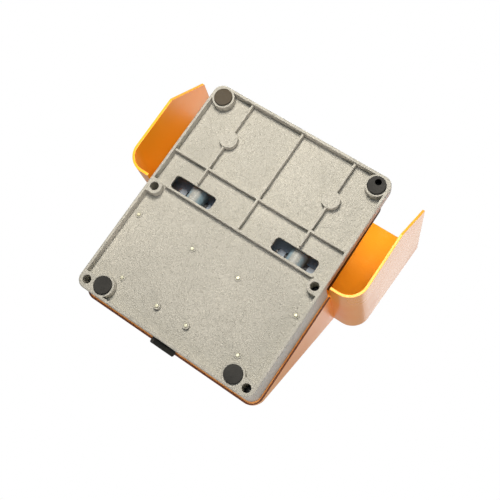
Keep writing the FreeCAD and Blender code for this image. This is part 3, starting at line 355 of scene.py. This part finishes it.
def looks_along(tree, axis):
    """How far a face looks along X, Y or Z, from -1 to 1."""
    return add(tree, "SeparateXYZ", Vector=add(tree, "NewGeometry").outputs["Normal"]).outputs[axis]


def place_along(tree, axis):
    """The place along X, Y or Z, in metres."""
    return add(tree, "SeparateXYZ", Vector=object_place(tree)).outputs[axis]


def pedal_underside(tree):
    """1 on the pedals' faces that look down and lie above their levers, where shade is painted, 0
    elsewhere.
    """
    looks_down = fade(tree, looks_along(tree, "Z"), -0.2, -0.6)
    high = fade(tree, place_along(tree, "Z"), PEDAL_UNDERSIDE - 1.5 * MM, PEDAL_UNDERSIDE + 1.5 * MM)
    return calculate(tree, "MULTIPLY", looks_down, high)


def lever_flanks(tree):
    """1 on the levers' faces that look sideways, where shade is painted, 0 elsewhere."""
    sideways = fade(tree, calculate(tree, "ABSOLUTE", looks_along(tree, "X")), 0.3, 0.75)
    behind = fade(tree, place_along(tree, "Y"), LEVER_FRONT - 4 * MM, LEVER_FRONT + 4 * MM)
    return calculate(tree, "MULTIPLY", sideways, behind)


def foot_hole(tree):
    """1 inside the blind hole above the front right foot, where black is painted as shade, 0 elsewhere.
    """
    apart = add(tree, "VectorMath", {"operation": "DISTANCE"})
    feed(tree, apart.inputs[0], object_place(tree))
    feed(tree, apart.inputs[1], FOOT_HOLE)
    return fade(tree, apart.outputs["Value"], FOOT_HOLE_REACH + 0.2 * MM, FOOT_HOLE_REACH)


def inside_of_rim(tree):
    """1 on the cover's faces below its rim that look down or inwards, where dark brown shade is painted,
    0 elsewhere.
    """
    looks_down = fade(tree, looks_along(tree, "Z"), -0.2, -0.6)
    outwards = add(tree, "VectorMath", {"operation": "DOT_PRODUCT"})
    feed(tree, outwards.inputs[0], add(tree, "NewGeometry").outputs["Normal"])
    feed(tree, outwards.inputs[1], object_place(tree, (1.0, 1.0, 0.0)))
    looks_in = fade(tree, outwards.outputs["Value"], 0.0, -20 * MM)
    low = fade(tree, place_along(tree, "Z"), RIM_TOP + 1 * MM, RIM_TOP - 1 * MM)
    return calculate(tree, "MULTIPLY", calculate(tree, "MAXIMUM", looks_down, looks_in), low)


# Finishes

def cast_paint(name, colour, deep_colour, grain_depth, shade_in_corners, patches=()):
    """Satin paint over sand-rough cast aluminium, with glints painted as bright specks, shade painted
    into corners, and painted shade in places that masks give.
    """
    material, tree, shader = new_material(name)
    surface = place_group(
        tree, "surface", Cloud_Scale=9.0, Grain_Scale=820.0, Speck_Scale=760.0, Speck_Share=0.35
    )
    edges = place_group(tree, "edges", Radius=0.7 * MM, Wear=0.55)
    dust_and_shade = place_group(tree, "dust_and_shade", Reach=shade_in_corners["reach"], Amount=shade_in_corners["amount"])
    scratches = place_group(tree, "scratches", Scale=34.0, Amount=0.25)
    body = mix_colour(tree, surface["Cloud"], deep_colour, colour)
    grainy = mix_colour(tree, fade(tree, surface["Grain"], 0.38, 0.66), deep_colour, body)
    # Bright specks painted in as glints of light
    specked = mix_colour(tree, calculate(tree, "MULTIPLY", surface["Specks"], 0.42), grainy, PAINTED_GLINT)
    # Shade painted into corners and recesses
    dusted_and_shaded = mix_colour(tree, dust_and_shade["Mask"], specked, shade_in_corners["colour"])
    rubbed = calculate(tree, "MAXIMUM", edges["Mask"], scratches["Mask"])
    painted = mix_colour(tree, rubbed, dusted_and_shaded, RUBBED_PAINT)
    for mask, patch_colour in patches:
        painted = mix_colour(tree, mask(tree), painted, patch_colour)
    feed(tree, shader.inputs["Base Color"], painted)
    rough = fade(tree, surface["Grain"], 0.3, 0.7, 0.46, 0.27)
    feed(tree, shader.inputs["Roughness"], mix_value(tree, dust_and_shade["Mask"], rough, 0.85))
    height = calculate(tree, "ADD", surface["Grain"], calculate(tree, "MULTIPLY", surface["Specks"], 0.5))
    feed(tree, shader.inputs["Normal"], bump(tree, height, grain_depth, edges["Normal"]))
    return material


def orange_powder_coat(name, shaded_places=None):
    """Powder coat with a soft orange-peel relief and shade painted into its corners, with matt dark brown
    painted shade where a mask gives.
    """
    material, tree, shader = new_material(name)
    surface = place_group(
        tree, "surface", Cloud_Scale=6.0, Grain_Scale=520.0, Speck_Scale=300.0, Speck_Share=0.03
    )
    edges = place_group(tree, "edges", Radius=0.8 * MM, Wear=0.7, Breakup=180.0)
    dust_and_shade = place_group(tree, "dust_and_shade", Reach=8 * MM, Amount=0.4)
    scratches = place_group(tree, "scratches", Scale=26.0, Amount=0.35)
    body = mix_colour(tree, surface["Cloud"], DEEP_ORANGE, ORANGE)
    rubbed = calculate(tree, "MAXIMUM", edges["Mask"], scratches["Mask"])
    worn = mix_colour(tree, rubbed, body, ORANGE_PRIMER)
    # Shade painted into the orange's corners and recesses
    dusted_and_shaded = mix_colour(tree, dust_and_shade["Mask"], worn, SHADED_ORANGE)
    coated = mix_colour(tree, calculate(tree, "MULTIPLY", surface["Specks"], 0.5), dusted_and_shaded, DEEP_ORANGE)
    rough = fade(tree, surface["Cloud"], 0.0, 1.0, 0.34, 0.26)
    # Painted shade on the places a mask gives
    if shaded_places is not None:
        shaded = shaded_places(tree)
        coated = mix_colour(tree, shaded, coated, RIM_PAINTED_SHADE)
        rough = mix_value(tree, shaded, rough, 0.95)
    feed(tree, shader.inputs["Base Color"], coated)
    feed(tree, shader.inputs["Roughness"], mix_value(tree, scratches["Mask"], rough, 0.5))
    feed(tree, shader.inputs["Normal"], bump(tree, surface["Grain"], 0.12 * MM, edges["Normal"]))
    return material


def black_rubber(name, colour, worn_colour, rough, corners=GREY_DUST):
    """Matte rubber that greys where it is rubbed, with its own dust or shade in the corners."""
    material, tree, shader = new_material(name)
    surface = place_group(
        tree, "surface", Cloud_Scale=45.0, Grain_Scale=1300.0, Speck_Scale=500.0, Speck_Share=0.02
    )
    edges = place_group(tree, "edges", Radius=0.7 * MM, Wear=0.8)
    dust_and_shade = place_group(tree, "dust_and_shade", Reach=corners["reach"], Amount=corners["amount"])
    body = mix_colour(tree, calculate(tree, "MULTIPLY", surface["Cloud"], 0.35), colour, worn_colour)
    rubbed = mix_colour(tree, edges["Mask"], body, worn_colour)
    specked = mix_colour(tree, calculate(tree, "MULTIPLY", surface["Specks"], 0.4), rubbed, RUBBER_DUST)
    dusted_and_shaded = mix_colour(tree, dust_and_shade["Mask"], specked, corners["colour"])
    feed(tree, shader.inputs["Base Color"], dusted_and_shaded)
    grainy_rough = fade(tree, surface["Grain"], 0.3, 0.7, rough + 0.1, rough - 0.06)
    feed(tree, shader.inputs["Roughness"], grainy_rough)
    feed(tree, shader.inputs["Normal"], bump(tree, surface["Grain"], 0.08 * MM, edges["Normal"]))
    return material


def plated_steel(name, colour, dull_colour, rough, streak_scale=900.0, metallic=1.0):
    """Plated or bare metal with rolling streaks, dull patches, bright edges and darker corners."""
    material, tree, shader = new_material(name)
    surface = place_group(
        tree, "surface", Cloud_Scale=70.0, Grain_Scale=2200.0, Speck_Scale=800.0, Speck_Share=0.05
    )
    edges = place_group(tree, "edges", Radius=0.4 * MM, Wear=0.9)
    streaks = place_group(tree, "brush", Scale=streak_scale)["Streaks"]
    dust_and_shade = place_group(tree, "dust_and_shade", Reach=3 * MM, Amount=0.6)
    dull = calculate(tree, "MULTIPLY", surface["Cloud"], fade(tree, streaks, 0.3, 0.7, 0.4, 1.0))
    body = mix_colour(tree, dull, colour, dull_colour)
    bright = mix_colour(tree, edges["Mask"], body, STEEL_EDGE)
    corner_darkened = mix_colour(tree, dust_and_shade["Mask"], bright, STEEL_CORNER_DARK)
    feed(tree, shader.inputs["Base Color"], corner_darkened)
    feed(tree, shader.inputs["Metallic"], mix_value(tree, dust_and_shade["Mask"], metallic, 0.3 * metallic))
    feed(tree, shader.inputs["Roughness"], fade(tree, streaks, 0.3, 0.7, rough - 0.06, rough + 0.1))
    feed(tree, shader.inputs["Normal"], bump(tree, streaks, 0.02 * MM, edges["Normal"]))
    return material


def moulded_plastic(name, colour, worn_colour, rough):
    """Moulded plastic with a fine spark-eroded grain."""
    material, tree, shader = new_material(name)
    surface = place_group(
        tree, "surface", Cloud_Scale=60.0, Grain_Scale=1700.0, Speck_Scale=900.0, Speck_Share=0.03
    )
    edges = place_group(tree, "edges", Radius=0.5 * MM, Wear=0.6)
    dust_and_shade = place_group(tree, "dust_and_shade", Reach=4 * MM, Amount=0.35)
    body = mix_colour(tree, calculate(tree, "MULTIPLY", surface["Cloud"], 0.3), colour, worn_colour)
    rubbed = mix_colour(tree, edges["Mask"], body, worn_colour)
    dusted_and_shaded = mix_colour(tree, dust_and_shade["Mask"], rubbed, PLASTIC_DUST)
    feed(tree, shader.inputs["Base Color"], dusted_and_shaded)
    grainy_rough = fade(tree, surface["Grain"], 0.3, 0.7, rough + 0.07, rough - 0.05)
    feed(tree, shader.inputs["Roughness"], grainy_rough)
    feed(tree, shader.inputs["Normal"], bump(tree, surface["Grain"], 0.03 * MM, edges["Normal"]))
    return material


# The pedals' undersides and the levers' flanks get painted shade
PEDAL_PAINTED_SHADES = [(pedal_underside, UNDERSIDE_PAINTED_SHADE), (lever_flanks, FLANK_PAINTED_SHADE)]

FINISHES = {
    # The base: shade painted into its corners, and black painted shade in the hole above the front right
    # foot
    "base_paint": cast_paint(
        "base_paint", CAST_GREY, DEEP_CAST_GREY, 0.85 * MM, CORNER_SHADE, [(foot_hole, HOLE_SHADE_BLACK)]
    ),
    # The pedals: painted shade in their cavities, on their undersides and on their levers' flanks
    "pedal_paint": cast_paint(
        "pedal_paint", PEDAL_GREY, DEEP_PEDAL_GREY, 0.3 * MM, CAVITY_SHADE, PEDAL_PAINTED_SHADES
    ),
    "orange_paint": orange_powder_coat("orange_paint"),
    # The rear cover: painted shade on the inside of its rim
    "cover_paint": orange_powder_coat("cover_paint", inside_of_rim),
    "tread_rubber": black_rubber("tread_rubber", RUBBER_BLACK, RUBBER_WORN, 0.62),
    "foot_rubber": black_rubber("foot_rubber", FOOT_BLACK, RUBBER_WORN, 0.7),
    "dusty_foot_rubber": black_rubber("dusty_foot_rubber", FOOT_BROWN, RUBBER_DUST, 0.8),
    "holed_foot_rubber": black_rubber("holed_foot_rubber", FOOT_BLACK, RUBBER_WORN, 0.7, HOLE_SHADE),
    "gasket_rubber": black_rubber("gasket_rubber", RUBBER_BLACK, RUBBER_WORN, 0.75),
    "zinc_sheet": plated_steel("zinc_sheet", ZINC, ZINC_DULL, 0.6, metallic=0.45),
    "zinc_screws": plated_steel("zinc_screws", YELLOW_ZINC, YELLOW_ZINC_DULL, 0.4, metallic=0.4),
    "black_screws": plated_steel("black_screws", BLACKENED_STEEL, BLACKENED_STEEL_DULL, 0.42),
    "bright_steel": plated_steel("bright_steel", BRIGHT_STEEL, DARK_STEEL, 0.24, streak_scale=1500.0),
    "spring_steel": plated_steel("spring_steel", SPRING_GREY, DARK_STEEL, 0.36),
    "brass_parts": plated_steel("brass_parts", BRASS, BRASS_DULL, 0.30),
    "bush_plastic": moulded_plastic("bush_plastic", BUSH_BLACK, BUSH_WORN, 0.45),
    "switch_plastic": moulded_plastic("switch_plastic", SWITCH_BLACK, SWITCH_WORN, 0.5),
    "plunger_plastic": moulded_plastic("plunger_plastic", PLUNGER_CREAM, PLUNGER_WORN, 0.4),
    "terminal_plastic": moulded_plastic("terminal_plastic", TERMINAL_CREAM, TERMINAL_WORN, 0.42),
    "plug_plastic": moulded_plastic("plug_plastic", PLUG_BLACK, PLUG_WORN, 0.6),
}

OWN_FINISHES = {
    "foot_front_left": "dusty_foot_rubber",
    "foot_front_right": "holed_foot_rubber",
    "rear_cover": "cover_paint",
}


def dress(thing, finish):
    """Give an object one finish."""
    thing.data.materials.clear()
    thing.data.materials.append(FINISHES[finish])


for part in frame["record"]["subparts"]:
    dress(cad[part["node"]], OWN_FINISHES.get(part["node"], part["material_slot"]))


# Pieces with more detail than their solids

def finish_piece(form, name, finish, node):
    """Turn a bmesh into a named piece that stands in for a node."""
    bmesh.ops.recalc_face_normals(form, faces=form.faces)
    mesh = bpy.data.meshes.new(name)
    form.to_mesh(mesh)
    form.free()
    piece = bpy.data.objects.new(name, mesh)
    bpy.context.scene.collection.objects.link(piece)
    for face in mesh.polygons:
        face.use_smooth = True
    mesh.set_sharp_from_angle(angle=math.radians(40))
    dress(piece, finish)
    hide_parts(node)
    return piece


def wind_wire(form, section, stretches):
    """Carry a section round the Z axis, through stretches of so many turns, rise and steps per turn."""
    moving = section
    for turns, rise, steps_per_turn in stretches:
        steps = round(steps_per_turn * turns)
        wound = bmesh.ops.spin(
            form,
            geom=moving,
            cent=(0, 0, 0),
            axis=(0, 0, 1),
            dvec=(0, 0, rise / steps),
            angle=2 * math.pi * turns,
            steps=steps,
        )
        moving = [item for item in wound["geom_last"] if isinstance(item, bmesh.types.BMFace)]


def wire_section(form, radius, segments, place):
    """A flat round section of wire that faces along the winding, and its vertices."""
    ring = bmesh.ops.create_circle(form, segments=segments, radius=radius, cap_ends=True)["verts"]
    bmesh.ops.rotate(form, verts=ring, cent=(0, 0, 0), matrix=Matrix.Rotation(math.pi / 2, 3, "X"))
    bmesh.ops.translate(form, verts=ring, vec=place)
    return ring


def coil_spring(side):
    """A return spring wound from round wire, with closed ends."""
    node = "return_spring_" + side
    low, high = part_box(node)
    middle = middle_of(node)
    wire_radius = 0.8 * MM
    wire_sides = 10
    coil_radius = (high.x - low.x) / 2 - wire_radius
    turns = 7
    steps_per_turn = 40
    end_rise = 2 * wire_radius
    travel = high.z - low.z - 2 * wire_radius
    closed_end = (1, end_rise, steps_per_turn)
    open_part = (turns - 2, travel - 2 * end_rise, steps_per_turn)
    form = bmesh.new()
    section = wire_section(form, wire_radius, wire_sides, (coil_radius, 0, wire_radius))
    wind_wire(form, section[0].link_faces[:], [closed_end, open_part, closed_end])
    bmesh.ops.translate(form, verts=form.verts, vec=(middle.x, middle.y, low.z))
    spring = finish_piece(form, node + "_coil", "spring_steel", node)
    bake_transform(spring)


# Screws with threads and driven heads, in the places of the plain solids

# Shares of a head's height
RECESS_DEPTH = 0.62
DOME_HEIGHT = {"cross": 0.22, "hexagon": 0.04}
EDGE_HEIGHT = 0.12
# Shares of a head's radius
CROSS_REACH = 0.58
CROSS_HALF_WIDTH = 0.15
HEXAGON_APOTHEM = 0.52
CROWN_RADIUS = 0.70
SHOULDER_RADIUS = 0.90
# Shares of a shank's radius
THREAD_PITCH = 0.36
THREAD_CORE = 0.84
POINT_RADIUS = 0.74


def separate_solids(node):
    """The vertices of each separate solid of a node."""
    weld_gap = 0.001 * MM
    form = bmesh.new()
    form.from_mesh(cad[node].data)
    bmesh.ops.remove_doubles(form, verts=form.verts, dist=weld_gap)
    waiting = set(form.verts)
    solids = []
    while waiting:
        reached = [waiting.pop()]
        solid = []
        while reached:
            vert = reached.pop()
            solid.append(vert.co.copy())
            neighbours = {edge.other_vert(vert) for edge in vert.link_edges} & waiting
            waiting -= neighbours
            reached.extend(neighbours)
        solids.append(solid)
    form.free()
    return solids


def measure_screw(points, outward):
    """The sizes of one screw along its axis, which points from the tip to the head."""
    low = Vector([min(point[i] for point in points) for i in range(3)])
    high = Vector([max(point[i] for point in points) for i in range(3)])
    middle = (low + high) / 2
    heights = [(point - middle).dot(outward) for point in points]
    radii = [((point - middle) - height * outward).length for point, height in zip(points, heights)]
    head_radius = max(radii)
    under = min(height for height, radius in zip(heights, radii) if radius > 0.95 * head_radius)
    below_head = under - 0.1 * MM
    shank_radius = max(radius for height, radius in zip(heights, radii) if height < below_head)
    return {
        "middle": middle,
        "tip": min(heights),
        "under": under,
        "top": max(heights),
        "head_radius": head_radius,
        "shank_radius": shank_radius,
    }


def round_outline(radius):
    """A circle, as the distance from the axis in each direction."""
    return lambda angle: radius


def hexagon_outline(apothem):
    """A hexagon, as the distance from the axis in each direction."""
    return lambda angle: apothem / math.cos((angle + math.pi / 6) % (math.pi / 3) - math.pi / 6)


def cross_outline(reach, half_width):
    """A cross, as the distance from the axis in each direction."""
    def distance(angle):
        turn = abs((angle + math.pi / 4) % (math.pi / 2) - math.pi / 4)
        if math.tan(turn) * reach <= half_width:
            return reach / math.cos(turn)
        return half_width / math.sin(turn)
    return distance


def turned_shell(form, sections, segments=24):
    """A closed shell through sections, each with a height and an outline around the axis."""
    ring = bmesh.ops.create_circle(form, cap_ends=True, segments=segments, radius=1.0)["verts"]
    edges = form.edges[:]
    place_ring(ring, *sections[0])
    for section in sections[1:]:
        grown = bmesh.ops.extrude_edge_only(form, edges=edges)["geom"]
        ring = [item for item in grown if isinstance(item, bmesh.types.BMVert)]
        edges = [item for item in grown if isinstance(item, bmesh.types.BMEdge)]
        place_ring(ring, *section)
    bmesh.ops.contextual_create(form, geom=edges)


def place_ring(ring, height, outline):
    """Set a ring of vertices to a height and an outline."""
    for vert in ring:
        angle = math.atan2(vert.co.y, vert.co.x)
        radius = outline(angle)
        vert.co = (radius * math.cos(angle), radius * math.sin(angle), height)


def recess_outline(drive, radius, taper):
    """The recess in a head: a cross that narrows by its taper, or a hexagon with upright walls."""
    if drive == "cross":
        return cross_outline(CROSS_REACH * radius * taper, CROSS_HALF_WIDTH * radius)
    return hexagon_outline(HEXAGON_APOTHEM * radius)


def head_sections(size, drive):
    """The head from the bottom of its recess, over its dome, to its seat."""
    radius = size["head_radius"]
    top = size["top"]
    height = top - size["under"]
    shoulder = top - DOME_HEIGHT[drive] * height
    return [
        (top - RECESS_DEPTH * height, recess_outline(drive, radius, 0.45)),
        (top - 0.02 * height, recess_outline(drive, radius, 1.0)),
        (top - 0.01 * height, round_outline(CROWN_RADIUS * radius)),
        (shoulder, round_outline(SHOULDER_RADIUS * radius)),
        (shoulder - EDGE_HEIGHT * height, round_outline(radius)),
        (size["under"], round_outline(radius)),
    ]


def threaded_screw(size, outward, drive):
    """One screw: a driven head, a core and a thread wound around it."""
    radius = size["shank_radius"]
    core = THREAD_CORE * radius
    form = bmesh.new()
    sections = head_sections(size, drive)
    sections.append((size["under"], round_outline(core)))
    sections.append((size["tip"] + 0.2 * radius, round_outline(core)))
    sections.append((size["tip"], round_outline(POINT_RADIUS * radius)))
    turned_shell(form, sections)
    ridge = 1.2 * (radius - core)
    ridge_sides = 3
    section = wire_section(form, ridge, ridge_sides, (radius - ridge, 0, size["tip"] + 0.5 * radius))
    length = size["under"] - size["tip"] - radius
    turns = length / (THREAD_PITCH * radius)
    steps_per_turn = 20
    wind_wire(form, section[0].link_faces[:], [(turns, length, steps_per_turn)])
    turn = outward.to_track_quat("Z", "Y").to_matrix()
    bmesh.ops.rotate(form, verts=form.verts, cent=(0, 0, 0), matrix=turn)
    bmesh.ops.translate(form, verts=form.verts, vec=size["middle"])
    return form


def threaded_screws(node, outward, drive, finish):
    """A node's screws, all in one piece."""
    together = bmesh.new()
    for points in separate_solids(node):
        screw = threaded_screw(measure_screw(points, outward), outward, drive)
        mesh = bpy.data.meshes.new(node)
        screw.to_mesh(mesh)
        screw.free()
        together.from_mesh(mesh)
        bpy.data.meshes.remove(mesh)
    screws = finish_piece(together, node + "_threaded", finish, node)
    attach(screws, "base")


for side in ("left", "right"):
    coil_spring(side)
for node in ("bracket_screws", "block_screws", "switch_screws"):
    threaded_screws(node, UP, "cross", "zinc_screws")
for node in ("hinge_screws", "hood_screws"):
    threaded_screws(node, FRONT, "cross", "zinc_screws")
threaded_screws("cover_screws", -UP, "hexagon", "black_screws")


# Floor, light and camera

def floor_material():
    """Pale floor that is seen from above and clear from below."""
    material, tree, shader = new_material("pale_floor")
    grain = noise(tree, object_place(tree), 3.0)
    feed(tree, shader.inputs["Base Color"], mix_colour(tree, grain, FLOOR_GREY, FLOOR_PALE))
    feed(tree, shader.inputs["Roughness"], 0.8)
    clear = add(tree, "BsdfTransparent")
    under = add(tree, "NewGeometry").outputs["Backfacing"]
    blend = add(tree, "MixShader")
    tree.links.new(under, blend.inputs[0])
    tree.links.new(shader.outputs[0], blend.inputs[1])
    tree.links.new(clear.outputs[0], blend.inputs[2])
    tree.links.new(blend.outputs[0], tree.nodes["Material Output"].inputs["Surface"])
    return material


def make_floor():
    """A wide floor under the feet that doesn't hold back the light from below."""
    form = bmesh.new()
    bmesh.ops.create_grid(form, x_segments=1, y_segments=1, size=FLOOR_HALF_SIZE)
    mesh = bpy.data.meshes.new("studio_floor")
    form.to_mesh(mesh)
    form.free()
    mesh.materials.append(floor_material())
    floor = bpy.data.objects.new("studio_floor", mesh)
    floor.visible_shadow = False
    floor.visible_diffuse = False
    floor.visible_glossy = False
    floor.visible_transmission = False
    bpy.context.scene.collection.objects.link(floor)


def area_light(name, place, aim, size, power, colour=WHITE):
    """A soft square light of so many metres and watts that points at a place."""
    data = bpy.data.lights.new(name, "AREA")
    data.size = size
    data.energy = power
    data.color = colour
    lamp = bpy.data.objects.new(name, data)
    lamp.location = place
    lamp.rotation_euler = (Vector(aim) - Vector(place)).to_track_quat("-Z", "Y").to_euler()
    lamp.visible_camera = False
    bpy.context.scene.collection.objects.link(lamp)
    return lamp


def light_only(lamp, nodes):
    """Let a lamp light only these parts, as a reflector held close to them would."""
    lit = bpy.data.collections.new(lamp.name + "_receivers")
    for node in nodes:
        lit.objects.link(cad[node])
    lamp.light_linking.receiver_collection = lit


def make_world():
    """A white surround behind the object, bright as a light from above and dim from below."""
    world = bpy.data.worlds.new("studio_surround")
    world.use_nodes = True
    bpy.context.scene.world = world
    bpy.context.scene.view_settings.view_transform = "Standard"
    tree = world.node_tree
    seen = tree.nodes["Background"]
    feed(tree, seen.inputs["Color"], WHITE)
    feed(tree, seen.inputs["Strength"], 1.0)
    heading = add(tree, "TexCoord").outputs["Generated"]
    height = add(tree, "SeparateXYZ", Vector=heading).outputs["Z"]
    strength = fade(tree, height, -0.6, 0.4, LIGHT_FROM_BELOW, LIGHT_FROM_ABOVE)
    lit = add(tree, "Background", Color=WHITE, Strength=strength)
    ray = add(tree, "LightPath").outputs["Is Camera Ray"]
    blend = add(tree, "MixShader")
    tree.links.new(ray, blend.inputs[0])
    tree.links.new(lit.outputs[0], blend.inputs[1])
    tree.links.new(seen.outputs[0], blend.inputs[2])
    tree.links.new(blend.outputs[0], tree.nodes["World Output"].inputs["Surface"])


def make_camera():
    """The photograph's viewing angle, from below the base."""
    place = (0.225, 0.126, -0.721)
    right = Vector((0.8164, -0.5616, 0.1348))
    up = Vector((-0.5128, -0.8122, -0.2782))
    back = Vector((0.2657, 0.1580, -0.9510))
    data = bpy.data.cameras.new("photo_camera")
    data.sensor_width = 36.0
    data.lens = 59.1
    data.clip_start = 10 * MM
    camera = bpy.data.objects.new("photo_camera", data)
    turn = Matrix((right, up, back)).transposed().to_4x4()
    camera.matrix_world = Matrix.Translation(place) @ turn
    bpy.context.scene.collection.objects.link(camera)
    bpy.context.scene.camera = camera


make_floor()
make_world()
make_camera()
area_light(
    "key_below",
    place=(-0.13, -0.30, -0.66),
    aim=(0.0, -0.04, 0.02),
    size=0.25,
    power=5.4,
    colour=WARM_LIGHT,
)
area_light(
    "lamp_under_base",
    place=(0.05, -0.1, -1.8),
    aim=(0.0, 0.0, 0.02),
    size=0.7,
    power=5.6,
    colour=COOL_LIGHT,
)
area_light(
    "softbox_above",
    place=(0.45, -0.6, 1.5),
    aim=(0.1, -0.05, 0.1),
    size=0.9,
    power=2.7,
)
area_light(
    "key_above",
    place=(-0.9, -1.1, 1.2),
    aim=(0.0, 0.0, 0.05),
    size=0.8,
    power=12.0,
)
hood_fill = area_light(
    "hood_fill",
    place=(0.34, 0.22, -1.3),
    aim=(0.0, 0.0, 0.09),
    size=0.5,
    power=25.0,
)
side_fill = area_light(
    "side_fill",
    place=(0.75, 0.65, -0.20),
    aim=(0.0, 0.05, 0.01),
    size=0.4,
    power=3.8,
    colour=BOUNCED_LIGHT,
)
light_only(hood_fill, ["guard_hood", "rear_cover"])
light_only(side_fill, ["base_casting"])
